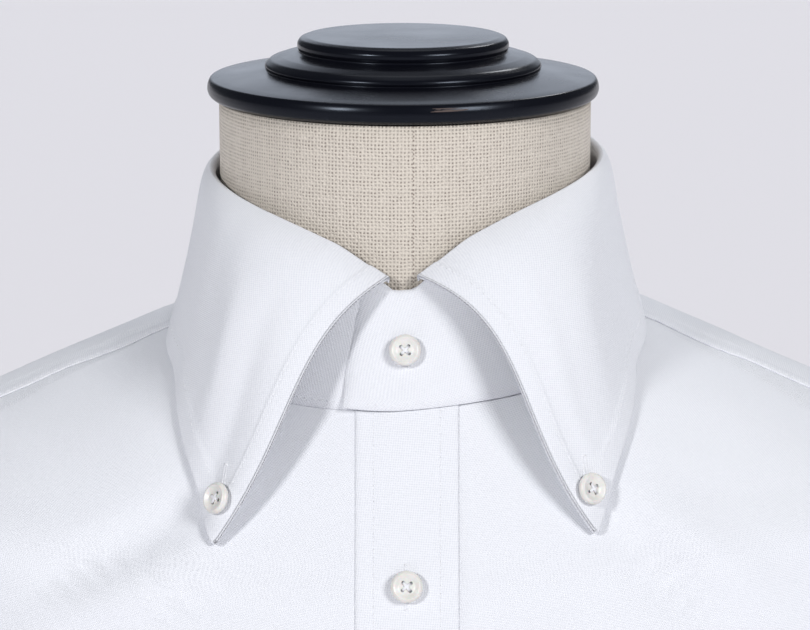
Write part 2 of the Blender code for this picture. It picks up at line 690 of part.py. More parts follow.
def cuff(side):
    """A barrel cuff whose ends lap on its outer side, towards the back."""
    def surface(u, v):
        angle = CUFF_LAP * (2 * u - 1) + 2 * pi * u
        end = max(1 - angle / (3 * CUFF_LAP), 0) - max(1 - (2 * pi - angle) / (3 * CUFF_LAP), 0)
        turn = angle + CUFF_LAP_TURN
        inset = -(WALL + SEAM) * 0.75 * end
        flare = CUFF_FLARE * (1 - v)
        point = Vector((
            CUFF_MIDDLE[0] + (CUFF_SIDE + inset + flare) * cos(turn),
            CUFF_MIDDLE[1] - (CUFF_FORE + inset + flare) * sin(turn),
            CUFF_BOTTOM + (CUFF_TOP - CUFF_BOTTOM) * v,
        ))
        point.x *= side
        return point

    def place(u, v, depth):
        step = 0.002
        normal = normal_of(surface, min(max(u, step), 1 - step), min(max(v, step), 1 - step), step)
        return surface(u, v) - normal * (side * depth * WALL)

    name = "cuff_left" if side > 0 else "cuff_right"
    return cloth(name, CUFF_COLUMNS, 1, place, COTTON, pulled=()), surface


def button(name, point, outwards):
    """A four-hole shirt button: a turned disc with a raised rim round a hollow face."""
    profile = [(across * BUTTON_RADIUS / MM, up * BUTTON_THICK / MM) for across, up in BUTTON]
    piece = turned(name, profile, 0, BUTTON_STEPS, PEARL)
    turn = Vector((0, 0, 1)).rotation_difference(outwards.normalized()).to_matrix().to_4x4()
    piece.matrix_world = Matrix.Translation(point) @ turn
    return piece


def shirt_buttons():
    for side, word in ((-1, "right"), (1, "left")):
        u = COLLAR_BUTTON_ALONG / 2
        u = u if side < 0 else 1 - u
        point = leaf_surface(u, COLLAR_BUTTON_DOWN)
        normal = normal_of(leaf_surface, u, COLLAR_BUTTON_DOWN, 0.01)
        button(f"button_collar_{word}", point + normal * COLLAR_BUTTON_LIFT, normal)
    stand_low = shirt_at(0, NECK_FRONT, WALL + SEAM)
    ridge, _ = ridge_point(0)
    top = Vector((0, -STAND_TOP_FRONT, ridge.z - ROLL_INNER))
    middle = stand_low + (top - stand_low) * STAND_BUTTON_HEIGHT
    lean = Vector((0, -(top.z - stand_low.z), stand_low.y - top.y)).normalized()
    lean = Vector((0, lean.y, abs(lean.z)))
    button("button_stand", middle + lean * (COLLAR_WALL * 1.8 + SEAM * 2), lean)
    for number in range(FRONT_BUTTONS):
        z = FIRST_BUTTON - BUTTON_PITCH * number
        angle = angle_of_x(PLACKET_MIDDLE, z)
        point = shirt_at(angle, z, 2 * WALL + SEAM * 2.7)
        button(f"button_front_{number + 1}", point, normal_of(shirt_bare, angle, z))


def build_form():
    lofted("torso", TORSO, TORSO_AROUND, len(TORSO) - 1, LINEN)
    turned("neck_cap", CAP, CAP_FOOT, FORM_STEPS, LACQUER).location.x = CAP_SHIFT
    turned("base", BASE, 0, FORM_STEPS, LACQUER)
    turned("pole", POLE, POLE_FOOT, POLE_STEPS, LACQUER)


def build_shirt():
    front_panel(-1)
    front_panel(1)
    back_panel()
    yoke_panel()
    placket()
    collar_stand()
    collar_leaf()
    for side, word in ((-1, "right"), (1, "left")):
        sleeve(side)
        _, surface = cuff(side)
        u = 1 - CUFF_LAP / (2 * pi + 2 * CUFF_LAP)
        normal = -side * normal_of(surface, u, 0.5, 0.002)
        button(f"button_cuff_{word}", surface(u, 0.5) + normal * (WALL + SEAM * 1.5), normal)
    shirt_buttons()


for existing in list(bpy.data.objects):
    bpy.data.objects.remove(existing)
parts = bpy.data.collections.new("shirt_on_dress_form")
bpy.context.scene.collection.children.link(parts)
COTTON = material("white cotton", (0.86, 0.87, 0.90), 0.85)
LINEN = material("beige linen", (0.70, 0.63, 0.54), 0.9)
LACQUER = material("black lacquer", (0.012, 0.012, 0.018), 0.18)
PEARL = material("cream resin", (0.83, 0.80, 0.74), 0.35)
build_form()
build_shirt()
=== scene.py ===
"""A white button-down shirt on a limbless dress form, seen close up at its collar."""

from math import cos, pi, radians, sin, tan

import bmesh
import bpy
import numpy as np
from mathutils import Matrix, Vector


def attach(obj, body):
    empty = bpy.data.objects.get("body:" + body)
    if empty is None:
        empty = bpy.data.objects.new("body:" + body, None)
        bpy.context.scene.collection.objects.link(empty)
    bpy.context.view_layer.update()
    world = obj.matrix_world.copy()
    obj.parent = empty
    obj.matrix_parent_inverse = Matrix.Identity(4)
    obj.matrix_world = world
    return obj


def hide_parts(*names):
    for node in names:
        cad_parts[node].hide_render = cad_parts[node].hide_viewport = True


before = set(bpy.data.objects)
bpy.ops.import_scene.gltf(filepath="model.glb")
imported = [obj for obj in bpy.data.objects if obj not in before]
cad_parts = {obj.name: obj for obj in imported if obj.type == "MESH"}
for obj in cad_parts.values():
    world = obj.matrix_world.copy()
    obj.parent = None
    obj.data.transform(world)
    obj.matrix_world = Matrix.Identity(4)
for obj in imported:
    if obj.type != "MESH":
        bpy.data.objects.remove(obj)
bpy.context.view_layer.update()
MM = 0.001

# The studio: a wide pale lilac-grey floor that fills the view behind the neck, and an even pale sky
# with a white card behind the form that its lacquered cap mirrors. The lights are a crisp one from
# the left, a softer one from the right, a weak one overhead and one from behind.
FLOOR_HALF = 60.0
FLOOR_COLOUR = (0.81, 0.79, 0.825)
FLOOR_GLOW = 0.085
SKY_COLOUR, SKY_STRENGTH = (0.80, 0.87, 1.0), 0.14
CARD_WAY, CARD_EDGE, CARD_MIDDLE, CARD_STRENGTH = (0, 0.95, 0.31), 0.90, 0.985, 1.35
SOFT_LIGHTS = (
    # degrees from the front towards +X, degrees up, degrees wide, strength
    (-39, 25, 9, 1.52),
    (42, 27, 20, 1.84),
    (180, 72, 40, 0.34),
    (150, 40, 14, 0.52),
)
CAMERA_PLACE, CAMERA_DOWN = (0, -0.9759, 1.1319), radians(12.6)
CAMERA_SENSOR, CAMERA_LENS, CAMERA_FAR = 36, 137.74, 300

camera = bpy.data.objects.new("camera", bpy.data.cameras.new("camera"))
bpy.context.scene.collection.objects.link(camera)
camera.location = CAMERA_PLACE
camera.rotation_euler = (pi / 2 - CAMERA_DOWN, 0, 0)
camera.data.sensor_width = CAMERA_SENSOR
camera.data.lens = CAMERA_LENS
camera.data.clip_end = CAMERA_FAR
bpy.context.scene.camera = camera

world = bpy.data.worlds.new("pale sky")
world.use_nodes = True
world.node_tree.nodes["Background"].inputs["Color"].default_value = (*SKY_COLOUR, 1)
sky_nodes, sky_links = world.node_tree.nodes, world.node_tree.links
sky_way = sky_nodes.new("ShaderNodeTexCoord")
card_share = sky_nodes.new("ShaderNodeVectorMath")
card_share.operation = "DOT_PRODUCT"
card_share.inputs[1].default_value = CARD_WAY
card_glow = sky_nodes.new("ShaderNodeMapRange")
card_range = CARD_EDGE, CARD_MIDDLE, SKY_STRENGTH, CARD_STRENGTH
for socket, value in zip(list(card_glow.inputs)[1:5], card_range):
    socket.default_value = value
sky_links.new(sky_way.outputs["Generated"], card_share.inputs[0])
sky_links.new(card_share.outputs["Value"], card_glow.inputs[0])
sky_links.new(card_glow.outputs[0], sky_nodes["Background"].inputs["Strength"])
bpy.context.scene.world = world

for turn, rise, width, strength in SOFT_LIGHTS:
    lamp = bpy.data.objects.new("soft_light", bpy.data.lights.new("soft_light", "SUN"))
    bpy.context.scene.collection.objects.link(lamp)
    ray = Vector((-sin(radians(turn)), cos(radians(turn)), -tan(radians(rise))))
    lamp.rotation_euler = ray.to_track_quat("-Z", "Y").to_euler()
    lamp.data.angle = radians(width)
    lamp.data.energy = strength
    lamp.visible_camera = False
bpy.context.scene.view_settings.view_transform = "Standard"


class Shade:
    """A number that varies over a surface. Arithmetic on it adds Math nodes to its finish."""

    def __init__(self, finish, socket):
        self.finish, self.socket = finish, socket

    def operator(operation):
        return lambda self, other: self.finish.maths(operation, self, other)

    __add__ = __radd__ = operator("ADD")
    __mul__ = __rmul__ = operator("MULTIPLY")
    __sub__, __truediv__ = operator("SUBTRACT"), operator("DIVIDE")
    __gt__, __lt__ = operator("GREATER_THAN"), operator("LESS_THAN")

    def __rsub__(self, other):
        return self.finish.maths("SUBTRACT", other, self)

    def wave(self):
        return self.finish.maths("SINE", self)


class Finish:
    """A material built round one Principled shader."""

    def __init__(self, name, colour, roughness, **fixed):
        self.material = bpy.data.materials.new(name)
        self.material.use_nodes = True
        self.nodes = self.material.node_tree.nodes
        self.shader = self.nodes["Principled BSDF"]
        self.set("Base Color", (*colour, 1))
        self.set("Roughness", roughness)
        for socket, value in fixed.items():
            self.set(socket.replace("_", " "), value)

    def set(self, socket, value):
        self.put(self.shader.inputs[socket], value)

    def put(self, socket, value):
        if isinstance(value, Shade):
            value = value.socket
        if isinstance(value, bpy.types.NodeSocket):
            self.material.node_tree.links.new(value, socket)
        else:
            socket.default_value = value

    def add(self, kind, sockets, **settings):
        node = self.nodes.new("ShaderNode" + kind)
        for name, value in settings.items():
            setattr(node, name, value)
        for name, value in sockets.items():
            self.put(node.inputs[name], value)
        return node

    def maths(self, operation, *values):
        node = self.add("Math", dict(enumerate(values)), operation=operation)
        return Shade(self, node.outputs[0])

    def number(self, kind, sockets, output, **settings):
        return Shade(self, self.add(kind, sockets, **settings).outputs[output])

    def place(self, uv):
        """The surface's own U and V in metres, or its X, Y and Z."""
        source = self.add("TexCoord", {}).outputs["UV" if uv else "Object"]
        split = self.add("SeparateXYZ", {0: source})
        return source, [Shade(self, split.outputs[axis]) for axis in range(2 if uv else 3)]

    def noise(self, source, scale, detail=2.0, stretch=(1, 1, 1)):
        moved = self.add("Mapping", {"Vector": source, "Scale": stretch})
        return self.number(
            "TexNoise", {"Vector": moved.outputs[0], "Scale": scale, "Detail": detail}, "Fac"
        )

    def mix(self, factor, first, second):
        node = self.add("Mix", {0: factor, 6: first, 7: second}, data_type="RGBA")
        return node.outputs[2]

    def bump(self, height, distance, strength=1.0):
        node = self.add("Bump", {"Height": height, "Distance": distance, "Strength": strength})
        self.set("Normal", node.outputs[0])


def show(name, bm, finish):
    """Makes an object of a finished bmesh."""
    mesh = bpy.data.meshes.new(name)
    bm.to_mesh(mesh)
    bm.free()
    mesh.shade_smooth()
    mesh.materials.append(finish.material)
    piece = bpy.data.objects.new(name, mesh)
    bpy.context.scene.collection.objects.link(piece)
    return piece


def belong(piece, node=None):
    """Says that a piece rides on the part's one body, and what it replaces."""
    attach(piece, "root")
    if node:
        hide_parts(node)
    return piece


floor_paint = Finish("pale floor", FLOOR_COLOUR, 0.9, Emission_Color=(*FLOOR_COLOUR, 1),
                     Emission_Strength=FLOOR_GLOW)
floor_bm = bmesh.new()
bmesh.ops.create_grid(floor_bm, x_segments=1, y_segments=1, size=FLOOR_HALF)
floor_source, _ = floor_paint.place(uv=False)
floor_paint.set("Roughness", 0.85 + floor_paint.noise(floor_source, 3.0) * 0.1)
floor = show("floor", floor_bm, floor_paint)


# The foot of the form: a heavy round base, and a pole with the flange that the torso is screwed to.
# Both are turned and lacquered black, with soft rounded edges.
BASE = (
    # radius, height
    (0, 24), (22, 24), (24, 22), (40, 20.5), (120, 17), (152, 15), (160, 12.5), (164, 8), (165, 3.5),
    (163.5, 0.6), (162, 0), (0, 0),
)
POLE_FOOT = 24.3 * MM
POLE = (
    (0, 190.4), (46, 190.4), (46, 186), (40, 184), (17, 180), (14, 174), (14, 26), (16, 20), (19, 10),
    (19, 0), (0, 0),
)
LACQUER_BLACK, LACQUER_TINT = (0.0035, 0.0038, 0.0065), (0.74, 0.84, 1.0, 1)
WORN_COLOUR = (0.085, 0.06, 0.05, 1)
WEAR_PLACE, WEAR_REACH = (11.0 * MM, 989.9 * MM), (8.0 * MM, 0.55 * MM)
WEAR_FRONT, WEAR_MARKS = -30 * MM, 0.56


def turned(name, profile, foot, steps, finish, shift=0.0, rounding=0.0):
    """A turned piece: its profile of radii and heights, in mm, spun about the upright axis."""
    bm = bmesh.new()
    outline = [bm.verts.new((radius * MM, 0, foot + height * MM)) for radius, height in profile]
    for pair in zip(outline, outline[1:]):
        bm.edges.new(pair)
    if rounding:
        bmesh.ops.bevel(
            bm, geom=outline[1:-1], offset=rounding * MM, segments=4, profile=0.5, affect="VERTICES",
            material=-1,
        )
    bmesh.ops.spin(
        bm, geom=bm.verts[:] + bm.edges[:], cent=(0, 0, 0), axis=(0, 0, 1), angle=2 * pi, steps=steps,
        use_merge=True,
    )
    bmesh.ops.remove_doubles(bm, verts=bm.verts, dist=0.002 * MM)
    bmesh.ops.recalc_face_normals(bm, faces=bm.faces)
    if bm.calc_volume(signed=True) < 0:
        bmesh.ops.reverse_faces(bm, faces=bm.faces)
    bmesh.ops.translate(bm, verts=bm.verts, vec=(shift, 0, 0))
    return show(name, bm, finish)


lacquer = Finish("black lacquer", LACQUER_BLACK, 0.2, Specular_IOR_Level=0.23)
lacquer.set("Specular Tint", LACQUER_TINT)
spot, (spot_x, spot_y, spot_z) = lacquer.place(uv=False)
lacquer_haze = lacquer.noise(spot, 45.0, 4.0)
lacquer_grain = lacquer.noise(spot, 22.0, 5.0, (1.0, 0.35, 14.0))
lacquer_marks = lacquer.noise(spot, 160.0, 3.0, (0.35, 0.35, 6.0))
wear_across = (spot_x - WEAR_PLACE[0]) / WEAR_REACH[0]
wear_up = (spot_z - WEAR_PLACE[1]) / WEAR_REACH[1]
near_wear = (wear_across * wear_across + wear_up * wear_up) < 1
wear = near_wear * (spot_y < WEAR_FRONT) * (lacquer_marks > WEAR_MARKS)
lacquer.set("Base Color", lacquer.mix(wear, (*LACQUER_BLACK, 1), WORN_COLOUR))
lacquer.set("Roughness", 0.17 + lacquer_haze * 0.16 + wear * 0.3)
lacquer.bump(lacquer_grain * 0.6 + lacquer_haze * 0.5 + lacquer_marks * 0.12, 0.0004, 0.35)

belong(turned("base_turned", BASE, 0, 128, lacquer, rounding=0.5), "base")
belong(turned("pole_turned", POLE, POLE_FOOT, 64, lacquer, rounding=0.5), "pole")


# The torso and neck: a padded form covered in coarse beige linen, with a stitched seam down the
# middle of its front and back. It ends in a flat neck under the cap.
TORSO = (
    # height, half width, front, back, middle, power of the oval
    (215, 138, 86, 90, 0, 2.2),
    (223, 151, 97, 101, 0, 2.2),
    (260, 163, 107, 110, 0, 2.2),
    (340, 160, 106, 106, 0, 2.2),
    (420, 150, 102, 96, 0, 2.2),
    (490, 145, 102, 90, 0, 2.2),
    (570, 152, 110, 96, 0, 2.2),
    (660, 163, 119, 108, 0, 2.2),
    (720, 168, 118, 112.5, 2, 2.3),
    (780, 178, 110.5, 113, 5, 2.4),
    (820, 188, 99, 107.5, 8, 2.3),
    (845, 195, 90, 101, 8, 2.15),
    (856, 196, 85.4, 97.5, 8, 2.05),
    (864.2, 187, 82.4, 94.6, 8, 2.0),
    (871.7, 170, 80, 91.6, 8, 2.0),
    (885.2, 139, 74.6, 84.1, 8, 1.95),
    (899.2, 106.6, 68.6, 76.1, 8, 1.90),
    (909, 82.6, 64, 70, 8, 1.85),
    (917, 64.4, 61.8, 65, 6, 1.9),
    (930, 60, 60.5, 61.5, 2, 2.0),
    (945, 59, 60, 60, 0, 2.0),
    (984.7, 59, 60, 60, 0, 2.0),
)
ASKEW, ASKEW_REACH = 1.9 * MM, 60 * MM
ASKEW_END, ASKEW_FADE, ASKEW_FULL = 945 * MM, 40 * MM, 600 * MM
LINEN_COLOUR, LINEN_DARK = (0.665, 0.605, 0.53, 1), (0.24, 0.195, 0.165, 1)
LINEN_PERIOD = 1.12 * MM
NECK_SEAM_X, NECK_SEAM_HALF, NECK_SEAM_LINE, NECK_SEAM_DEPTH = 2.6 * MM, 0.5 * MM, 0.24 * MM, 0.35 * MM
NECK_STITCH = 1.35 * MM


def smooth_column(rows, number):
    """A smooth curve through one column of a table, as a function of the table's first column."""
    table = np.array(rows, float)
    at, values = table[:, 0], table[:, number]
    rise = np.diff(values) / np.diff(at)
    slope = np.concatenate([rise[:1], np.zeros(len(at) - 2), rise[-1:]])
    same_way = rise[:-1] * rise[1:] > 0
    total = np.where(same_way, rise[:-1] + rise[1:], 1)
    slope[1:-1] = np.where(same_way, 2 * rise[:-1] * rise[1:] / total, 0)

    def curve(place):
        place = np.clip(place, at[0], at[-1])
        i = np.clip(np.searchsorted(at, place, side="right") - 1, 0, len(at) - 2)
        span = at[i + 1] - at[i]
        t = (place - at[i]) / span
        return (
            values[i] * (1 + 2 * t) * (1 - t) ** 2
            + values[i + 1] * t * t * (3 - 2 * t)
            + slope[i] * span * t * (1 - t) ** 2
            - slope[i + 1] * span * t * t * (1 - t)
        )

    return curve


def ovals(rows):
    """The surface through a table's ovals: angle 0 is the front, and it grows towards +X."""
    columns = [smooth_column(rows, number) for number in range(1, 6)]

    def surface(angle, z):
        half_width, front, back, middle, power = [column(z / MM) for column in columns]
        across, along = np.sin(angle), np.cos(angle)
        size = (abs(across) ** power + abs(along) ** power) ** (1 / power)
        depth = np.where(along > 0, front + middle, back - middle)
        x = half_width * across / size * MM
        y = (middle - depth * along / size) * MM
        return np.stack([x, y, z + 0 * x], axis=-1)

    surface.half_width, surface.power = columns[0], columns[4]
    return surface


def askew(x):
    """How far the form's shoulders and the collar lean: up on one side and down on the other."""
    share = x / ASKEW_REACH
    return 2 * ASKEW * share / (1 + share * share)


def unit(vectors):
    return vectors / np.maximum(np.linalg.norm(vectors, axis=-1, keepdims=True), 1e-12)


def arc_map(points, level_row):
    """Each point's distance along its row from the middle one, and up its column from level_row."""
    across = np.linalg.norm(np.diff(points, axis=1), axis=-1)
    up = np.linalg.norm(np.diff(points, axis=0), axis=-1)
    u = np.concatenate([np.zeros((len(points), 1)), np.cumsum(across, axis=1)], axis=1)
    v = np.concatenate([np.zeros((1, points.shape[1])), np.cumsum(up, axis=0)], axis=0)
    return u - u[:, u.shape[1] // 2][:, None], v - v[level_row][None, :]


def lay_map(bm, shares, columns, rows, points, level_row):
    """Gives the faces a UV map in metres from a grid of points on the piece."""
    u, v = arc_map(points, level_row)
    layer = bm.loops.layers.uv.new("cut")
    column = np.rint(shares[:, 0] * columns).astype(int)
    row = np.rint(shares[:, 1] * rows).astype(int)
    for face in bm.faces:
        for loop in face.loops:
            index = loop.vert.index
            loop[layer].uv = (u[row[index], column[index]], v[row[index], column[index]])


torso_oval = ovals(TORSO)
TORSO_COLUMNS, TORSO_ROWS = 160, 150


def torso_skin(angle, z):
    points = torso_oval(angle, z)
    fade = np.clip((ASKEW_END - z) / ASKEW_FADE, 0, 1) * np.minimum(z / ASKEW_FULL, 1)
    points[..., 2] += askew(points[..., 0]) * fade
    groove = np.exp(-((points[..., 0] - NECK_SEAM_X) / NECK_SEAM_HALF) ** 2) * NECK_SEAM_DEPTH
    points[..., 1] += np.sign(np.cos(angle)) * groove
    return points


torso_bm = bmesh.new()
bmesh.ops.create_grid(torso_bm, x_segments=TORSO_COLUMNS, y_segments=TORSO_ROWS, size=0.5)
torso_shares = np.array([vert.co[:2] for vert in torso_bm.verts]) + 0.5
torso_low, torso_high = TORSO[0][0] * MM, TORSO[-1][0] * MM
torso_levels = np.linspace(0, 1, TORSO_ROWS + 1)
grid_angle, grid_z = np.meshgrid(
    np.linspace(-pi, pi, TORSO_COLUMNS + 1), torso_low + (torso_high - torso_low) * torso_levels
)
lay_map(torso_bm, torso_shares, TORSO_COLUMNS, TORSO_ROWS, torso_skin(grid_angle, grid_z), TORSO_ROWS)
torso_places = torso_skin(
    (torso_shares[:, 0] * 2 - 1) * pi, torso_low + (torso_high - torso_low) * torso_shares[:, 1]
)
for vert, place in zip(torso_bm.verts, torso_places):
    vert.co = place
bmesh.ops.remove_doubles(torso_bm, verts=torso_bm.verts, dist=0.01 * MM)
bmesh.ops.holes_fill(torso_bm, edges=[edge for edge in torso_bm.edges if edge.is_boundary], sides=0)
bmesh.ops.recalc_face_normals(torso_bm, faces=torso_bm.faces)

linen = Finish("beige linen", LINEN_COLOUR[:3], 0.92, Sheen_Weight=0.2, Sheen_Roughness=0.6)
cut, (across_cut, up_cut) = linen.place(uv=True)
slub = linen.noise(cut, 380.0, 3.0)
bars = linen.noise(cut, 90.0, 3.0, (0.15, 4.0, 1.0)) + linen.noise(cut, 90.0, 3.0, (4.0, 0.15, 1.0))
across_yarn, along_yarn = [
    (way * (2 * pi / LINEN_PERIOD) + slub * 3.4).wave() * 0.5 + 0.5 for way in (across_cut, up_cut)
]
checker = (across_cut * (pi / LINEN_PERIOD)).wave() * (up_cut * (pi / LINEN_PERIOD)).wave()
holes = across_yarn * along_yarn
fibres = linen.noise(cut, 1400.0, 2.0)
open_weave = holes * holes * (slub * 3.4 - 0.85)
seam_gap = across_cut - NECK_SEAM_X
seam_line = (seam_gap * seam_gap) < NECK_SEAM_LINE ** 2
seam_dots = seam_line * ((up_cut * (2 * pi / NECK_STITCH) + slub * 5.0).wave() > 0.1) * 0.8
dark = open_weave + (fibres - 0.5) * 0.5 + (1.0 - bars) * 0.35 + seam_dots
linen.set("Base Color", linen.mix(dark, LINEN_COLOUR, LINEN_DARK))
linen.bump((1 - holes) + checker * 0.25 + fibres * 0.3, 0.00035, 0.8)
belong(show("torso_linen", torso_bm, linen), "torso")


# The neck cap: a turned wooden disc of three steps, lacquered black like the foot, with a full
# round brim that is a little worn at the front.
CAP_FOOT, CAP_SHIFT = 985 * MM, -0.6 * MM
CAP = (
    # radius, height
    (0, 19.5), (30.7, 19.5), (32.6, 18.8), (33.5, 17.4), (33.5, 15.9), (32.9, 14.7), (34.2, 14.2),
    (38.6, 13.4), (42.0, 12.3), (43.6, 10.9), (43.9, 9.9), (43.3, 9.0), (45.0, 8.6), (57.0, 7.1),
    (61.0, 6.5), (61.65, 5.5), (62.0, 4.3), (62.1, 2.9), (61.6, 1.4), (60.4, 0.4), (58.6, 0), (0, 0),
)
cap = turned("neck_cap_turned", CAP, CAP_FOOT, 192, lacquer, shift=CAP_SHIFT, rounding=0.45)
belong(cap, "neck_cap")


# The body of the shirt: fine white cotton in four panels. Two fronts meet under the placket, a back
# runs from side seam to side seam, and a yoke over the shoulders joins them. Its folds fall from the
# points where the collar pulls on it, and down the sides and back where the cloth is loose.
WALL, SEAM = 1.5 * MM, 0.3 * MM                         # of the solids
CLOTH, HALF_SEAM, EDGE_ROUND = 0.6 * MM, 0.06 * MM, 0.15 * MM
EDGES = ("left", "right", "bottom", "top")
SIDES = (-1, "right"), (1, "left")                      # of the wearer
SHIRT = (
    # height, half width, front, back, middle, power of the oval: the inner face
    (125, 197, 124, 122, 0, 2.30),
    (200, 196, 124, 122, 0, 2.30),
    (300, 192, 121, 118, 0, 2.30),
    (400, 185, 116, 110, 0, 2.30),
    (500, 179, 116, 104, 0, 2.30),
    (580, 182, 122, 108, 0, 2.30),
    (660, 188, 127, 116, 2, 2.30),
    (720, 194, 125, 119, 4, 2.40),
    (780, 201.5, 116.5, 118, 6, 2.45),
    (820, 208.5, 106, 113, 8, 2.30),
    (857.5, 207.5, 93, 103, 8, 2.05),
    (872, 174.1, 87, 96.5, 8, 2.00),
    (886, 141.9, 80.5, 88.5, 8, 1.95),
    (900, 109.6, 74, 80.5, 8, 1.90),
    (910, 86.6, 70, 74.5, 8, 1.85),
    (920, 63.8, 67.5, 69.5, 6, 1.85),
    (930, 60, 66, 68, 3, 1.90),
)
NECK_FRONT, NECK_SIDE, NECK_BACK = 902.5 * MM, 918.0 * MM, 925.0 * MM
TAIL_FRONT, TAIL_BACK, TAIL_SIDE = 150 * MM, 140 * MM, 215 * MM
ARMHOLE_TOP, ARMHOLE_PIT = 858.6 * MM, 660 * MM
ARMHOLE_TOP_X, ARMHOLE_PIT_X = 204.5 * MM, 188 * MM
ARMHOLE_CUT_FRONT, ARMHOLE_CUT_BACK = 29 * MM, 17 * MM
ARMHOLE_RISE = 0.5
YOKE_FRONT_TURN, YOKE_BACK_TURN = radians(18), radians(36)
YOKE_NECK_ANGLE = radians(77)
OPENING = 13.5 * MM
FOLDS = (
    # face (-1 front, 1 back), first x and z, last x and z, half width, depth, negative for a ridge:
    # the large ones, as in the solids
    (-1, -63, 873, -104, 851, 5.0, 2.6),
    (-1, -58, 862, -84, 842, 4.0, -1.6),
    (-1, -57, 858, -74, 838, 4.5, 1.8),
    (-1, 60, 871, 90, 838, 5.0, 2.4),
    (-1, 72, 871, 100, 845, 4.5, -1.5),
    (-1, -74, 909, -100, 903, 5.0, 1.2),
    (-1, 73, 908, 102, 903, 5.0, 1.2),
    (-1, -150, 740, -120, 560, 13, 4.0),
    (-1, 148, 735, 118, 540, 13, 4.0),
    (-1, -95, 560, -110, 260, 15, 4.5),
    (-1, 100, 540, 112, 250, 15, 4.5),
    (-1, -45, 430, -52, 190, 13, 3.0),
    (-1, 55, 410, 58, 190, 13, 3.0),
    (1, -130, 800, -95, 600, 14, 4.5),
    (1, 126, 800, 98, 610, 14, 4.5),
    (1, -100, 590, -112, 240, 16, 5.0),
    (1, 104, 580, 110, 250, 16, 5.0),
    (1, -38, 620, -44, 230, 15, 4.0),
    (1, 42, 610, 40, 220, 15, 4.0),
    # the finer ones beside and between them
    (-1, -64, 870, -106, 848, 4.0, 2.0),
    (-1, -62, 857, -110, 836, 6.0, -2.5),
    (-1, -118, 886, -82, 872, 9, 1.0),
    (-1, -140, 845, -100, 800, 10, 1.3),
    (-1, -60, 820, -48, 740, 12, 1.0),
    (-1, 64, 870, 92, 842, 4.0, 1.7),
    (-1, 74, 874, 106, 850, 6.0, -2.1),
    (-1, 78, 893, 104, 885, 6, 1.0),
    (-1, 84, 880, 118, 872, 5, 0.7),
    (-1, 140, 850, 104, 802, 11, 1.3),
    (-1, 62, 815, 40, 735, 12, 0.9),
    (-1, -128, 690, -84, 660, 12, 1.4),
    (-1, 130, 684, 92, 650, 12, 1.4),
    (1, -84, 850, -60, 760, 12, 1.2),
    (1, 88, 848, 58, 765, 12, 1.2),
    (1, -20, 800, -14, 690, 13, 0.9),
    (1, 24, 790, 10, 700, 13, 0.9),
    (1, -150, 700, -112, 640, 12, 1.5),
    (1, 148, 690, 110, 636, 12, 1.5),
    (-1, -152, 600, -160, 220, 9, -3.2),
    (-1, 150, 590, 158, 230, 9, -3.0),
    (-1, -118, 600, -76, 520, 8, -2.4),
    (-1, 122, 588, 84, 505, 8, -2.2),
    (-1, -72, 470, -80, 200, 9, -2.6),
    (-1, 80, 450, 86, 200, 9, -2.4),
    (-1, -160, 660, -110, 622, 7, -2.4),
    (-1, 162, 655, 116, 612, 7, -2.4),
    (-1, -34, 330, -30, 180, 9, -1.6),
    (1, -150, 620, -158, 230, 10, -3.4),
    (1, 152, 610, 156, 235, 10, -3.2),
    (1, -72, 700, -78, 230, 10, -3.0),
    (1, 74, 690, 76, 225, 10, -3.0),
    (1, -6, 660, -2, 210, 10, -2.6),
    (1, -160, 668, -96, 622, 7, -2.6),
    (1, 160, 662, 100, 612, 7, -2.6),
    (1, -120, 560, -60, 500, 8, -1.8),
    (1, 118, 550, 64, 486, 8, -1.8),
)
FOLD_ENDS = 0.55                                        # share of its depth that a fold keeps there
RIPPLE = 0.28
COTTON_COLOUR, COTTON_SHADE = (0.80, 0.81, 0.845, 1), (0.69, 0.705, 0.765, 1)
FOLD_LIFT = 0.04 * MM
FOLD_THIN, FOLD_TAPER = 0.15, 1.6
STITCH_PITCH, STITCH_HALF = 2.4 * MM, (0.92 * MM, 0.15 * MM, 0.11 * MM)
HOLE_PITCH, HOLE_SIDE = 0.42 * MM, 0.5 * MM
HOLE_BAR, HOLE_TACK = (0.45 * MM, 0.19 * MM, 0.20 * MM), (1.05 * MM, 0.30 * MM, 0.24 * MM)
THREAD_DARK, THREAD_LIGHT = (0.74, 0.75, 0.79, 1), (0.93, 0.93, 0.95, 1)
LOW_SHARE, BACK_LOW_SHARE = 11 / 20, 11 / 19            # of a panel's height, below the armhole
NECK_SHARE = 4 / 12                                     # of a front's width, under the neckline
SEAMS = {
    # folded edge from and to, beside its seam, thickness, closed or not, rows of stitches with
    # their place beside the seam and above the wall: all in mm
    "yoke": (-1.3, 6.0, 0.5, False, [(0.9, 0.52)]),
    "armhole": (0.4, -8.0, 0.4, True, [(-6.5, 0.16)]),
    "side": (0.6, -6.0, 0.4, False, [(-0.6, 0.4), (-5.2, 0.14)]),
}
HEM_TURNED, HEM_STITCH_RISE = 6.5 * MM, 0.04 * MM
shirt_oval = ovals(SHIRT)


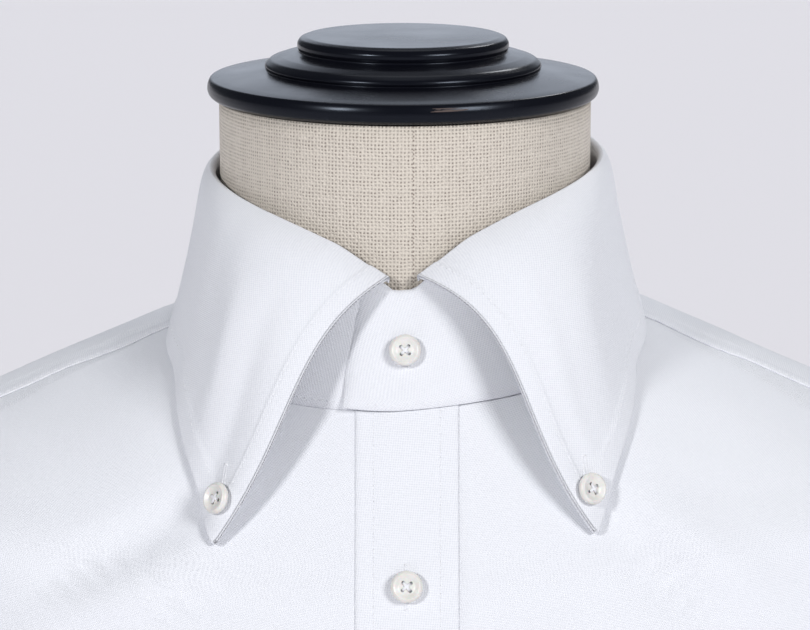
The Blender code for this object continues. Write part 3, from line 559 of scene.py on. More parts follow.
def fold_depth(points):
    """How far the cloth falls inwards at points of the body."""
    depth = 0.0
    for face, x0, z0, x1, z1, half_width, deep in FOLDS:
        along_x, along_z = x1 - x0, z1 - z0
        x, z = points[..., 0] / MM - x0, points[..., 2] / MM - z0
        length = np.hypot(along_x, along_z)
        along = (x * along_x + z * along_z) / length
        across = (x * along_z - z * along_x) / length
        past = np.maximum(np.maximum(-along, along - length), 0) / half_width
        middle = np.clip(along / length, 0, 1)
        fall = np.exp(-(across / half_width) ** 2 - past ** 2)
        fall = fall * (FOLD_ENDS + (1 - FOLD_ENDS) * np.sin(pi * middle))
        depth = depth + np.where(face * points[..., 1] < 0, 0, deep * fall)
    x, y, z = [points[..., axis] / MM for axis in range(3)]
    # Two sets of crossed waves, long and short, that never repeat over the shirt.
    ripple = np.sin(x / 19 + z / 37 + 1.3) * np.sin(z / 23 - x / 41 + y / 31)
    ripple = ripple + 0.6 * np.sin(x / 9.5 - z / 17) * np.sin(z / 13 + x / 27 + 0.7)
    return (depth + RIPPLE * (1 + ripple)) * MM


def from_ends(u):
    """Which half of a piece u lies in, -1 or 1, and its share of the way to the middle."""
    return np.where(u < 0.5, -1, 1), np.where(u < 0.5, 2 * u, 2 - 2 * u)


def inner(share, margin):
    return np.clip(share, margin, 1 - margin)


def normals_of(surface, a, b, step=0.0008):
    across = surface(a + step, b) - surface(a - step, b)
    along = surface(a, b + step) - surface(a, b - step)
    return unit(np.cross(across, along))


def shirt_bare(angle, z):
    points = shirt_oval(angle, z)
    points[..., 2] += askew(points[..., 0])
    return points


def shirt_at(angle, z, out=0.0):
    """Points of the shirt's body, folds included, moved out of its inner face."""
    points = shirt_bare(angle, z)
    lift = np.asarray(out - fold_depth(points))
    return points + normals_of(shirt_bare, angle, z) * lift[..., None]


def angle_of_x(x, z):
    half_width, power = shirt_oval.half_width(z / MM) * MM, shirt_oval.power(z / MM)
    share = np.minimum(abs(x) / half_width, 0.9999) ** power
    return np.sign(x) * np.arctan((share / (1 - share)) ** (1 / power))


def neckline(angle):
    front = NECK_FRONT + (NECK_SIDE - NECK_FRONT) * np.sin(angle) ** 2
    back = NECK_SIDE + (NECK_BACK - NECK_SIDE) * np.cos(angle) ** 2
    return np.where(np.cos(angle) > 0, front, back)


def hem(angle):
    tail = np.where(np.cos(angle) > 0, TAIL_FRONT, TAIL_BACK)
    return tail + (TAIL_SIDE - tail) * np.sin(angle) ** 4


def armhole(turn):
    """The angle and height of the left armhole: turn 0 is its top, pi its pit, positive the front."""
    turn = np.asarray(turn, float)
    turn = np.where(np.sin(turn) > 0, turn - ARMHOLE_RISE * np.sin(turn), turn)
    rise = (1 + np.cos(turn)) / 2
    z = ARMHOLE_PIT + (ARMHOLE_TOP - ARMHOLE_PIT) * rise
    cut = np.where(np.sin(turn) > 0, ARMHOLE_CUT_FRONT, ARMHOLE_CUT_BACK)
    x = ARMHOLE_PIT_X + (ARMHOLE_TOP_X - ARMHOLE_PIT_X) * rise - cut * np.sin(turn) ** 2
    angle = np.where(abs(np.sin(turn)) > 1e-6, angle_of_x(x, z), pi / 2)
    return np.where(np.sin(turn) >= 0, angle, pi - angle), z


def armhole_round(turn):
    """The armhole for turns from 0 to 2 pi."""
    return armhole(np.where(turn <= pi, turn, turn - 2 * pi))


def opening_height(v):
    low = TAIL_FRONT + (ARMHOLE_PIT - TAIL_FRONT) * v / LOW_SHARE
    high = ARMHOLE_PIT + (NECK_FRONT - ARMHOLE_PIT) * (v - LOW_SHARE) / (1 - LOW_SHARE)
    return np.where(v <= LOW_SHARE, low, high)


def cloth_at(angle, z, depth):
    """Points of the body's cloth, depth 0 inside and 1 on the outer face of the solids."""
    return shirt_at(angle, z, WALL - (1 - depth) * CLOTH)


def front_place(side):
    def opening_at(z):
        return side * angle_of_x(OPENING, z)

    def top_edge(u):
        start = opening_at(NECK_FRONT)
        near = start + (YOKE_NECK_ANGLE - start) * u / NECK_SHARE
        share = (u - NECK_SHARE) / (1 - NECK_SHARE)
        angle, z = armhole(YOKE_FRONT_TURN)
        corner = neckline(YOKE_NECK_ANGLE)
        far = YOKE_NECK_ANGLE + (angle - YOKE_NECK_ANGLE) * share
        far_z = corner + (z - corner) * share
        return np.where(u <= NECK_SHARE, near, far), np.where(u <= NECK_SHARE, neckline(near), far_z)

    def place(u, v, depth):
        opening = opening_at(opening_height(v))
        low_angle = opening + (pi / 2 - opening) * u
        low = hem(low_angle)
        low_z = low + (ARMHOLE_PIT - low) * v / LOW_SHARE
        w = np.clip((v - LOW_SHARE) / (1 - LOW_SHARE), 0, 1)
        right, right_z = armhole(pi - (pi - YOKE_FRONT_TURN) * w)
        top, top_z = top_edge(u)
        corner, corner_z = top_edge(np.zeros(1))
        far, far_z = top_edge(np.ones(1))
        angle = w * top + (1 - u) * opening + u * right - w * ((1 - u) * corner + u * far)
        z = w * top_z + (1 - u) * opening_height(v) + u * right_z - w * ((1 - u) * corner_z + u * far_z)
        below = v <= LOW_SHARE
        angle, z = side * np.where(below, low_angle, angle), np.where(below, low_z, z)
        return cloth_at(angle, z, depth)

    return place


def back_place(u, v, depth):
    lean = 2 * u - 1
    low_angle = pi + lean * pi / 2
    low = hem(low_angle)
    low_z = low + (ARMHOLE_PIT - low) * v / BACK_LOW_SHARE
    w = np.clip((v - BACK_LOW_SHARE) / (1 - BACK_LOW_SHARE), 0, 1)
    edge, edge_z = armhole(-(pi - (pi - YOKE_BACK_TURN) * w))
    flat = ARMHOLE_PIT + (armhole(-YOKE_BACK_TURN)[1] - ARMHOLE_PIT) * w
    below = v <= BACK_LOW_SHARE
    angle = np.where(below, low_angle, pi + lean * (pi - edge))
    z = np.where(below, low_z, edge_z * abs(lean) + flat * (1 - abs(lean)))
    return cloth_at(angle, z, depth)


def yoke_place(u, v, depth):
    ridge, corner = 4 / 24, 8 / 24
    side, share = from_ends(u)
    first, first_z = armhole(YOKE_FRONT_TURN * (1 - np.minimum(share / ridge, 1)))
    second, second_z = armhole(-YOKE_BACK_TURN * np.clip((share - ridge) / (corner - ridge), 0, 1))
    last, last_z = armhole(-YOKE_BACK_TURN)
    across = last + (pi - last) * (share - corner) / (1 - corner)
    outer = np.where(share <= ridge, first, np.where(share <= corner, second, across))
    outer_z = np.where(share <= ridge, first_z, np.where(share <= corner, second_z, last_z))
    front = YOKE_NECK_ANGLE + (pi / 2 - YOKE_NECK_ANGLE) * share / ridge
    near = np.where(share <= ridge, front, pi / 2 + (share - ridge) / (1 - ridge) * pi / 2)
    z = neckline(near) + (outer_z - neckline(near)) * v
    return cloth_at(side * (near + (outer - near) * v), z, depth)


def cloth(name, columns, rows, place, finish, drawn=EDGES, ring=False, cuts=1, rim=None):
    """A shell of cloth: a flat slab whose points place(u, v, depth) carries to the garment.

    u and v run from 0 to 1 across and up the piece, and depth from 0 inside to 1 outside. Edges in
    drawn are pulled back by half a seam's gap. rim(edge, depth) says how far a cut edge is drawn back.
    """
    bm = bmesh.new()
    bmesh.ops.create_grid(bm, x_segments=columns, y_segments=rows, size=0.5)
    outer = bmesh.ops.extrude_face_region(bm, geom=bm.faces[:])["geom"]
    outer = [part for part in outer if isinstance(part, bmesh.types.BMVert)]
    bmesh.ops.translate(bm, verts=outer, vec=(0, 0, 1))
    bmesh.ops.recalc_face_normals(bm, faces=bm.faces)
    if ring:
        ends = [face for face in bm.faces if all(abs(v.co.x) > 0.4999 for v in face.verts)]
        bmesh.ops.delete(bm, geom=ends, context="FACES_ONLY")
    if cuts:
        upright = [e for e in bm.edges if abs(e.verts[0].co.z - e.verts[1].co.z) > 0.5]
        bmesh.ops.subdivide_edges(bm, edges=upright, cuts=cuts, use_grid_fill=True)
    bm.verts.ensure_lookup_table()
    bm.verts.index_update()
    slab = np.array([vert.co[:] for vert in bm.verts]) + (0.5, 0.5, 0)
    u, v, depth = slab[:, 0], slab[:, 1], slab[:, 2]
    points = place(u, v, depth)
    rounding = EDGE_ROUND * abs(2 * depth - 1) ** 2
    sides = u < 0.0001, u > 0.9999, v < 0.0001, v > 0.9999
    steps = (1 / columns, 0), (-1 / columns, 0), (0, 1 / rows), (0, -1 / rows)
    for edge, at, step in zip(EDGES, sides, steps):
        if ring and edge in ("left", "right"):
            continue
        gap = (HALF_SEAM if edge in drawn else 0) + (rounding[at] if rim is None else rim(edge, depth[at]))
        further = place(u[at] + step[0], v[at] + step[1], depth[at])
        points[at] += unit(further - place(u[at], v[at], depth[at])) * gap[:, None]
    grid_u, grid_v = np.meshgrid(np.linspace(0, 1, columns + 1), np.linspace(0, 1, rows + 1))
    lay_map(bm, slab, columns, rows, place(grid_u, grid_v, np.ones_like(grid_u)), rows // 2)
    for vert, point in zip(bm.verts, points):
        vert.co = point
    if ring:
        bmesh.ops.remove_doubles(bm, verts=bm.verts, dist=0.005 * MM)
    if bm.calc_volume(signed=True) < 0:
        bmesh.ops.reverse_faces(bm, faces=bm.faces)
    return show(name, bm, finish)


def sewn(piece, node):
    """Says what a piece of the shirt replaces."""
    belong(piece, node)


def beside(line, t, across, out):
    """Points this far to one side of a seam on the shirt's body, and the directions out of it there.

    line(t) gives the seam's angle and height, for t from 0 to 1.
    """
    angle, z = line(t)
    before, after = line(np.clip(t - 0.002, 0, 1)), line(np.clip(t + 0.002, 0, 1))
    normal = normals_of(shirt_bare, angle, z)
    sideways = np.cross(normal, unit(shirt_bare(*after) - shirt_bare(*before)))
    step = 0.001
    by_angle = (shirt_bare(angle + step, z) - shirt_bare(angle - step, z)) / (2 * step)
    by_height = (shirt_bare(angle, z + step) - shirt_bare(angle, z - step)) / (2 * step)
    aa, ah = (by_angle * by_angle).sum(-1), (by_angle * by_height).sum(-1)
    hh = (by_height * by_height).sum(-1)
    sa, sh = (sideways * by_angle).sum(-1), (sideways * by_height).sum(-1)
    area = aa * hh - ah * ah
    angle = angle + (sa * hh - sh * ah) / area * across
    z = z + (sh * aa - sa * ah) / area * across
    return shirt_at(angle, z, out), normals_of(shirt_bare, angle, z)


def fold_seam(kind, word, line, side, columns):
    """Sews a seam and gives its folded edge: a strip, thick at the seam and thin at its far side."""
    first, last, thick, ring, rows = SEAMS[kind]

    def place(u, v, depth):
        across = side * (first + (last - first) * v) * MM
        rise = thick * MM * (FOLD_THIN + (1 - FOLD_THIN) * np.minimum((1 - v) * FOLD_TAPER, 1)) * depth
        return beside(line, u, across, WALL + FOLD_LIFT + rise)[0]

    for across, rise in rows:
        across = side * across * MM + 0 * steps_along
        sew(panel_thread, *beside(line, steps_along, across, WALL + rise * MM))
    piece = cloth(f"{kind}_fold_{word}", columns, 4, place, body_cotton, drawn=(), ring=ring)
    return belong(piece)


def bar(bm, place, along, outwards, half_sizes):
    """One stitch: a rounded bar of thread that lies along a direction on the cloth."""
    along, outwards = Vector(along).normalized(), Vector(outwards).normalized()
    sideways = outwards.cross(along).normalized()
    axes = [axis * half for axis, half in zip((along, sideways, outwards), half_sizes)]
    shape = Matrix(axes).transposed().to_4x4()
    shape.translation = Vector(place)
    bmesh.ops.create_icosphere(bm, subdivisions=1, radius=1, matrix=shape)


def along_path(path, outwards, pitch):
    """Points about a pitch apart on a path, each with the directions along the path and out of it."""
    at = np.concatenate([[0], np.cumsum(np.linalg.norm(np.diff(path, axis=0), axis=1))])
    count = int(at[-1] / pitch)
    places = at[-1] * ((np.arange(count) + 0.5) / count)

    def read(values, where):
        return np.stack([np.interp(where, at, values[:, axis]) for axis in range(3)], axis=-1)

    step = 0.5 * MM
    ahead = unit(read(path, places + step) - read(path, places - step))
    return list(zip(read(path, places), ahead, unit(read(outwards, places))))


def sew(bm, path, outwards):
    """A row of lockstitches along a path on the cloth."""
    for spot, way, up in along_path(path, outwards, STITCH_PITCH):
        bar(bm, spot, way, up, STITCH_HALF)


def work_buttonhole(bm, path, outwards):
    """A buttonhole: close bars of thread along both sides of the slit, and a bar tack at each end."""
    places = along_path(path, outwards, HOLE_PITCH)
    for number, (spot, way, up) in enumerate(places):
        sideways = np.cross(up, way)
        if number in (0, len(places) - 1):
            bar(bm, spot, sideways, up, HOLE_TACK)
            continue
        for side in (-1, 1):
            bar(bm, spot + sideways * side * HOLE_SIDE, sideways, up, HOLE_BAR)


def threaded(name, bm):
    return belong(show(name, bm, thread_white))


def cotton_cloth(name, slant, period, contrast):
    """White cotton: a fine weave on the piece's own map, leaning by slant, and its faint cloudiness."""
    made = Finish(name, COTTON_COLOUR[:3], 0.8, Sheen_Weight=0.15, Sheen_Roughness=0.5)
    cut, (u, v) = made.place(uv=True)
    turn = 2 * pi / period
    first = (u * (turn * cos(slant)) + v * (turn * sin(slant))).wave()
    second = (v * (turn * cos(slant)) - u * (turn * sin(slant))).wave()
    weave = first * second
    cloud = made.noise(cut, 60.0, 3.0)
    grain = made.noise(cut, 1500.0, 2.0)
    tone = weave * contrast + (grain - 0.5) * (1.3 * contrast) + (cloud - 0.5) * 0.15 + 0.25
    made.set("Base Color", made.mix(tone, COTTON_COLOUR, COTTON_SHADE))
    made.bump(weave * 0.5 + grain * 0.8, 0.00015, 0.6)
    return made


body_cotton = cotton_cloth("white cotton, twilled", radians(38), 1.0 * MM, 0.72)
collar_cotton = cotton_cloth("white cotton, plain", 0.0, 0.95 * MM, 0.62)
thread_white = Finish("white thread", (0.86, 0.865, 0.885), 0.6)
thread_spot, _ = thread_white.place(uv=False)
thread_twist = thread_white.noise(thread_spot, 900.0, 1.0)
thread_white.set("Base Color", thread_white.mix(thread_twist, THREAD_DARK, THREAD_LIGHT))


def yoke_front_line(side):
    def line(t):
        angle, z = armhole(YOKE_FRONT_TURN)
        start_z = neckline(YOKE_NECK_ANGLE)
        return side * (YOKE_NECK_ANGLE + (angle - YOKE_NECK_ANGLE) * t), start_z + (z - start_z) * t

    return line


def yoke_back_line(t):
    angle, z = armhole(-YOKE_BACK_TURN)
    return angle + (2 * pi - 2 * angle) * t, z + 0 * t


def armhole_line(side):
    def line(t):
        angle, z = armhole_round(2 * pi * t)
        return side * angle, z

    return line


def side_seam_line(side):
    low, high = TAIL_SIDE + 1 * MM, ARMHOLE_PIT - 2 * MM
    return lambda t: (side * pi / 2 + 0 * t, low + (high - low) * t)


def hem_line(t):
    angle = 2 * pi * t
    return angle, hem(angle)


steps_along, hem_steps = np.linspace(0, 1, 400), np.linspace(0, 1, 900)
front_folds, back_folds, yoke_folds = {}, [], []
panel_thread = bmesh.new()
for side, word in SIDES:
    yoke_folds.append(fold_seam("yoke", word, yoke_front_line(side), side, 90))
    front_folds[side] = fold_seam("armhole", word, armhole_line(side), side, 200)
    back_folds.append(fold_seam("side", word, side_seam_line(side), side, 160))
yoke_folds.append(fold_seam("yoke", "back", yoke_back_line, 1, 200))
sew(panel_thread, *beside(hem_line, hem_steps, HEM_TURNED + 0 * hem_steps, WALL + HEM_STITCH_RISE))
threaded("panel_stitches", panel_thread)

for side, word in SIDES:
    front = cloth(f"front_{word}_cloth", 90, 240, front_place(side), body_cotton)
    sewn(front, f"front_{word}")
back = cloth("back_cloth", 110, 200, back_place, body_cotton)
sewn(back, "back")
yoke = cloth("yoke_cloth", 180, 60, yoke_place, body_cotton)
sewn(yoke, "yoke")


# The placket: a folded band down the edge of the left front, stitched on along both its sides.
PLACKET_LEFT, PLACKET_RIGHT = -14.8 * MM, 16.0 * MM
PLACKET_DROP = 0.8 * MM
PLACKET_THICK, PLACKET_STITCH = 0.6 * MM, 5.5 * MM
PLACKET_MIDDLE = (PLACKET_LEFT + PLACKET_RIGHT) / 2
BUTTON_COUNT, FIRST_BUTTON, BUTTON_PITCH = 6, 852 * MM, 90 * MM
BUTTONHOLE = 13 * MM


def placket_point(x, z, out):
    """A point on the placket's outer face, and the direction out of it."""
    angle = angle_of_x(x, z)
    return shirt_at(angle, z, WALL + FOLD_LIFT + out), normals_of(shirt_bare, angle, z)


def placket_place(u, v, depth):
    x = PLACKET_LEFT + (PLACKET_RIGHT - PLACKET_LEFT) * u
    z = opening_height(v) - PLACKET_DROP * np.clip((v - 0.98) / 0.02, 0, 1)
    inside = np.minimum(x - PLACKET_LEFT, PLACKET_RIGHT - x)
    hollow = 0.14 * MM * np.exp(-((inside - PLACKET_STITCH) / (0.8 * MM)) ** 2)
    turned_in = 0.45 + 0.55 * np.minimum(inside / (1.2 * MM), 1)
    return placket_point(x, z, depth * (PLACKET_THICK * turned_in - hollow))[0]


placket = cloth("placket_band", 34, 300, placket_place, body_cotton, drawn=())
placket_thread = bmesh.new()
placket_z = np.linspace(TAIL_FRONT + 2 * MM, NECK_FRONT - 2 * MM, 900)
for x in (PLACKET_LEFT + PLACKET_STITCH, PLACKET_RIGHT - PLACKET_STITCH):
    sew(placket_thread, *placket_point(x + 0 * placket_z, placket_z, PLACKET_THICK - 0.1 * MM))
for number in range(BUTTON_COUNT):
    hole_z = FIRST_BUTTON - BUTTON_PITCH * number + np.linspace(-0.5, 0.5, 40) * BUTTONHOLE
    work_buttonhole(placket_thread, *placket_point(PLACKET_MIDDLE + 0 * hole_z, hole_z, PLACKET_THICK))
placket_stitches = threaded("placket_stitches", placket_thread)
sewn(placket, "placket")


# The collar: a band that stands up round the neck, and a leaf of two fused plies that rolls over it
# and is buttoned down at both points. The leaf is stitched 6 mm inside its edges, over the turned
# seam allowance, and its long points stand a little off the chest.
COLLAR_WALL = 1.0 * MM
RIDGE = (
    # degrees from the front, height of the top of the roll
    (3, 939.0), (9, 943.5), (20, 951.0), (42, 958.5), (70, 963.5), (90, 965.5), (135, 969.0), (180, 970.0),
)
RIDGE_SIDE, RIDGE_FRONT, RIDGE_BACK = 62.6 * MM, 64.5 * MM, 64.5 * MM
ROLL_INNER = 1.8 * MM
ROLL_SIDE, ROLL_FRONT = 2.5 * MM, 4.8 * MM
SHIFT_SIDE, SHIFT_FRONT = 0.5 * MM, -0.5 * MM
LEAF = (
    # along from the front edge, ridge angle, edge angle, edge height, share of the bow, lift
    (0.00, 3.8, 16.4, 862.8, 1.00, 6.0),
    (0.08, 13, 19.0, 868.8, 0.90, 5.6),
    (0.18, 27, 23.7, 879.6, 0.70, 4.8),
    (0.30, 43, 32.6, 892.5, 0.40, 3.6),
    (0.42, 60, 46.8, 904.8, 0.15, 2.0),
    (0.51, 74, 61.0, 910.0, 0.00, 1.0),
    (0.57, 84, 73.0, 913.0, 0.00, 0.3),
    (0.63, 95, 90.0, 915.2, 0.00, 0.0),
    (0.73, 115, 115, 915.2, 0.00, 0.0),
    (0.87, 150, 148, 916.3, 0.00, 0.0),
    (1.00, 180, 180, 917.0, 0.00, 0.0),
)
LEAF_CLEAR, LEAF_BACK = 0.75 * MM, 1.2 * MM
ALLOWANCE_HIGH, ALLOWANCE_WIDE, ALLOWANCE_SOFT = 0.34 * MM, 6.8 * MM, 0.35 * MM
STITCH_INSET, STITCH_HOLLOW = 6.0 * MM, 0.16 * MM
TIP_ROUND = 1.5 * MM
SLIT_LEAN, SLIT_ABOVE, SLIT_STEP = 0.15, 10 * MM, 0.5 * MM
COLLAR_BUTTON_ALONG, COLLAR_BUTTON_DOWN = 0.075, 0.935
LEAF_PULLS = (
    # side, place along, width along, height, start down
    (-1, 0.235, 0.035, 0.9, 0.45),
    (-1, 0.150, 0.030, -0.5, 0.40),
    (-1, 0.330, 0.045, -0.6, 0.15),
    (1, 0.250, 0.040, 0.6, 0.40),
    (1, 0.160, 0.030, -0.4, 0.40),
    (1, 0.370, 0.050, -0.5, 0.20),
)
BOW_LEFT, BOW_RIGHT, BOW_LEAN = 9.3 * MM, 6.9 * MM, 2.7
LEAF_LEG = 0.14
LEAF_GATHER, LEAF_STEP = 0.11, 0.002
STAND_TOP_SIDE, STAND_TOP_FRONT, STAND_TOP_BACK = 60.8 * MM, 62.4 * MM, 62.8 * MM
STAND_NOTCH, STAND_NOTCH_WIDTH = 1.6 * MM, radians(9)
STAND_LAP = radians(14.5)
STAND_END_LOW, STAND_END_TOP = 1.0 * MM, 9 * MM
STAND_UPRIGHT, STAND_UPRIGHT_REACH = 0.42, 0.5
STAND_OVER = 1.6 * MM
STAND_LAP_STEP = COLLAR_WALL + 1.3 * SEAM
STAND_STEP, STAND_STITCH_ROWS = 0.0015, (0.05, 0.93)
STAND_BUTTON = np.array(0.966), np.array(0.5)
ridge_height = smooth_column(RIDGE, 1)
leaf_columns = [smooth_column(LEAF, number) for number in range(1, 6)]


def collar_shift(angle):
    return SHIFT_SIDE + (SHIFT_FRONT - SHIFT_SIDE) * np.maximum(np.cos(angle), 0)


def ridge_points(angle):
    """The top of the collar's roll, and the level direction out of it."""
    reach = np.where(np.cos(angle) > 0, RIDGE_FRONT, RIDGE_BACK)
    x, y = RIDGE_SIDE * np.sin(angle), -reach * np.cos(angle)
    out = unit(np.stack([x / RIDGE_SIDE ** 2, y / reach ** 2, 0 * x], axis=-1))
    z = ridge_height(np.degrees(abs(angle))) * MM + askew(x)
    return np.stack([x + collar_shift(angle), y, z], axis=-1), out


def stand_surface(u, v):
    angle = STAND_LAP * (2 * u - 1) + 2 * pi * u
    near, far = angle / (3 * STAND_LAP), (2 * pi - angle) / (3 * STAND_LAP)
    lap = np.where(near < 1, -0.5 * (1 - near), np.where(far < 1, 0.5 * (1 - far), 0))
    inside = STAND_LAP_STEP * (lap + abs(lap) * (1 - v))
    angle = np.where(angle > pi, angle - 2 * pi, angle)
    drawn_in = angle * (1 - STAND_UPRIGHT * np.exp(-(angle / STAND_UPRIGHT_REACH) ** 2))
    low = shirt_at(-drawn_in, neckline(drawn_in) - STAND_OVER, WALL + FOLD_LIFT)
    ridge, out = ridge_points(-angle)
    reach = np.where(np.cos(angle) > 0, STAND_TOP_FRONT, STAND_TOP_BACK)
    notch = STAND_NOTCH * np.exp(-(angle / STAND_NOTCH_WIDTH) ** 2)
    top = np.stack([
        -STAND_TOP_SIDE * np.sin(angle) + collar_shift(angle), -reach * np.cos(angle),
        ridge[..., 2] - ROLL_INNER - SEAM - notch,
    ], axis=-1)
    past = np.maximum(abs(u - 0.5) * 2 * (pi + STAND_LAP) - pi, 0) / STAND_LAP
    low[..., 2] += STAND_END_LOW * past ** 2
    top[..., 2] -= STAND_END_TOP * past ** 3
    return low + (top - low) * v[..., None] + out * inside[..., None]


def stand_place(u, v, depth):
    normal = normals_of(stand_surface, inner(u, STAND_STEP), inner(v, 0.02), STAND_STEP)
    normal[..., 2] *= 0.3
    past = (0.5 - abs(u - 0.5)) * 2 * (pi + STAND_LAP) / radians(2.2)
    thick = COLLAR_WALL * (0.22 + 0.78 * np.clip(np.minimum(v / 0.10, past), 0, 1))
    return stand_surface(u, v) - unit(normal) * (depth * thick)[..., None]


def leaf_surface(u, v):
    """The outer face of the leaf: u from the wearer's right point to the left, v down to the edge."""
    side, along = from_ends(u)
    ridge_angle, edge_angle, edge_z, bow, lift = [column(along) for column in leaf_columns]
    ridge_angle, edge_angle = np.radians(ridge_angle), np.radians(edge_angle)
    ridge, out = ridge_points(side * ridge_angle)
    up = np.array([0, 0, 1.0])
    turn = (np.minimum(v / LEAF_LEG, 1) * pi / 2)[..., None]
    leg = ridge + (out * -np.cos(turn) + up * (np.sin(turn) - 1)) * ROLL_INNER
    reach = WALL + LEAF_CLEAR + COLLAR_WALL + LEAF_BACK * np.maximum(-np.cos(edge_angle), 0)
    edge = shirt_at(side * edge_angle, edge_z * MM, reach)
    edge[..., 0] += SHIFT_SIDE * np.sin(edge_angle) ** 2
    share = np.clip((v - LEAF_LEG) / (1 - LEAF_LEG), 0, 1) ** 1.5
    fall = edge - ridge
    length = np.linalg.norm(fall, axis=-1)
    peak = (BOW_LEAN / (1 + BOW_LEAN)) ** BOW_LEAN / (1 + BOW_LEAN)
    bowed = np.where(side > 0, BOW_LEFT, BOW_RIGHT) * bow * share * (1 - share) ** BOW_LEAN / peak
    sideways = unit(np.stack([side * abs(fall[..., 2]), 0 * length, abs(fall[..., 0])], axis=-1))
    facing = abs(np.cos(ridge_angle))
    bulge = ROLL_SIDE + (ROLL_FRONT - ROLL_SIDE) * facing
    rolled = bulge * (1 - share) ** (3 - 2 * facing) * (1 - np.exp(-share * length / bulge))
    lifted = np.array([0, -1.0, 0]) * (lift * MM * 4 * share * (1 - share))[..., None]
    down = ridge + fall * share[..., None] + out * rolled[..., None]
    down = down + sideways * bowed[..., None] + lifted
    return np.where((v < LEAF_LEG)[..., None], leg, down)


def edge_distance(u, v):
    """How far a point of the leaf lies inside its nearer front edge, and inside its outer edge."""
    point = leaf_surface(u, v)
    end, outer = np.where(u < 0.5, 0.0, 1.0), 1 + 0 * v
    up, along = inner(v, LEAF_STEP), inner(u, LEAF_STEP)
    front_way = leaf_surface(end, up + LEAF_STEP) - leaf_surface(end, up - LEAF_STEP)
    outer_way = leaf_surface(along + LEAF_STEP, outer) - leaf_surface(along - LEAF_STEP, outer)
    front = np.cross(point - leaf_surface(end, v), unit(front_way))
    fall = np.cross(point - leaf_surface(u, outer), unit(outer_way))
    return np.linalg.norm(front, axis=-1), np.linalg.norm(fall, axis=-1)


def leaf_relief(u, v):
    """The turned allowance inside the edges, the hollow of the stitches and the soft pull lines."""
    front, fall = edge_distance(u, v)
    inside = np.minimum(front, fall)
    allowance = ALLOWANCE_HIGH / (1 + np.exp((inside - ALLOWANCE_WIDE) / ALLOWANCE_SOFT))
    ridge = np.exp(-((inside - ALLOWANCE_WIDE + 0.5 * MM) / (0.6 * MM)) ** 2) * 0.14 * MM
    sewn_in = STITCH_HOLLOW * np.exp(-((inside - STITCH_INSET) / ALLOWANCE_SOFT) ** 2)
    half, along = from_ends(u)
    pull = 0.0
    for side, at, width, deep, start in LEAF_PULLS:
        swell = np.sin(pi * np.clip((v - start) / (1 - start), 0, 1))
        pull = pull + (half == side) * deep * MM * np.exp(-((along - at) / width) ** 2) * swell
    pucker = 0.03 * MM * np.sin(inside / (1.7 * MM) * 2 * pi) * np.exp(-inside / (4 * MM))
    return allowance + ridge - sewn_in + pull + pucker


def leaf_place(u, v, depth):
    along = inner(u, LEAF_STEP)
    along = np.where(abs(along - 0.5) < LEAF_STEP, 0.5 - LEAF_STEP, along)
    normal = normals_of(leaf_surface, along, inner(v, LEAF_STEP), LEAF_STEP)
    outwards = leaf_relief(u, v) * depth - (1 - depth) * COLLAR_WALL
    point = leaf_surface(u, v) + normal * outwards[..., None]
    for end in (0.0, 1.0):
        tip = leaf_surface(np.array(end), np.array(1.0))
        inwards = unit(leaf_surface(np.array(abs(end - 0.03)), np.array(0.85)) - tip)
        near = np.exp(-(np.linalg.norm(point - tip, axis=-1) / TIP_ROUND) ** 2)
        point = point + inwards * (near * TIP_ROUND * 0.8)[..., None]
    return point


def leaf_rim(edge, depth):
    """At the front edges the under ply shows past the upper one, with a groove between them."""
    front = edge in ("left", "right")
    round_off = 0.25 * MM * abs(2 * depth - 1) ** 4
    groove = (0.2 if front else 0.1) * MM * np.exp(-((depth - 0.5) / 0.15) ** 2)
    return (1.0 if front else 0.1) * MM * depth + round_off + groove


def leaf_close(u, v, depth):
    """The leaf, with its columns gathered towards the front edges, where its seams show."""
    return leaf_place(u - LEAF_GATHER * np.sin(2 * pi * u), v, depth)


stand = cloth("collar_stand_band", 220, 20, stand_place, collar_cotton, drawn=())
leaf = cloth("collar_leaf_rolled", 320, 120, leaf_close, collar_cotton, drawn=(), cuts=3, rim=leaf_rim)


def leaf_path(u, v):
    """A path on the leaf's outer face, and the directions out of it."""
    out = normals_of(leaf_surface, inner(u, 0.003), inner(v, 0.003), LEAF_STEP)
    return leaf_place(u, v, np.ones_like(u)), out


def inset_leaf(distance):
    """The line on the leaf that runs this far inside its front edges and its outer edge."""
    down = np.linspace(LEAF_LEG + 0.04, 1, 160)
    across = np.linspace(0, 0.5, 400)
    fronts, falls = [], []
    for v in down:
        front, _ = edge_distance(across[:120], v + 0 * across[:120])
        fronts.append(np.interp(distance, front, across[:120]))
    for u in across:
        _, fall = edge_distance(u + 0 * down, down)
        falls.append(np.interp(-distance, -fall, down))
    fronts, falls = np.array(fronts), np.array(falls)
    corner = np.interp(fronts, across, falls)
    keep = down < corner
    last = fronts[keep][-1]
    edge = across > last
    u = np.concatenate([fronts[keep], across[edge]])
    v = np.concatenate([down[keep], falls[edge]])
    return np.concatenate([u, 1 - u[::-1][1:]]), np.concatenate([v, v[::-1][1:]])


def leaf_slit(u):
    """The buttonhole above a collar button: a line on the leaf that runs nearly straight up."""
    at = np.array([u, COLLAR_BUTTON_DOWN])
    rise = np.array([SLIT_LEAN if u < 0.5 else -SLIT_LEAN, 1.0]) * SLIT_STEP
    step = 0.001
    line = [at]
    for _ in range(int(SLIT_ABOVE / SLIT_STEP)):
        ways = []
        for off in ((step, 0), (0, step)):
            way = leaf_surface(*(line[-1] + off)) - leaf_surface(*(line[-1] - off))
            ways.append(way[[0, 2]] / (2 * step))
        line.append(line[-1] + np.linalg.solve(np.array(ways).T, rise))
    line = np.array(line)
    return line[:, 0], line[:, 1]


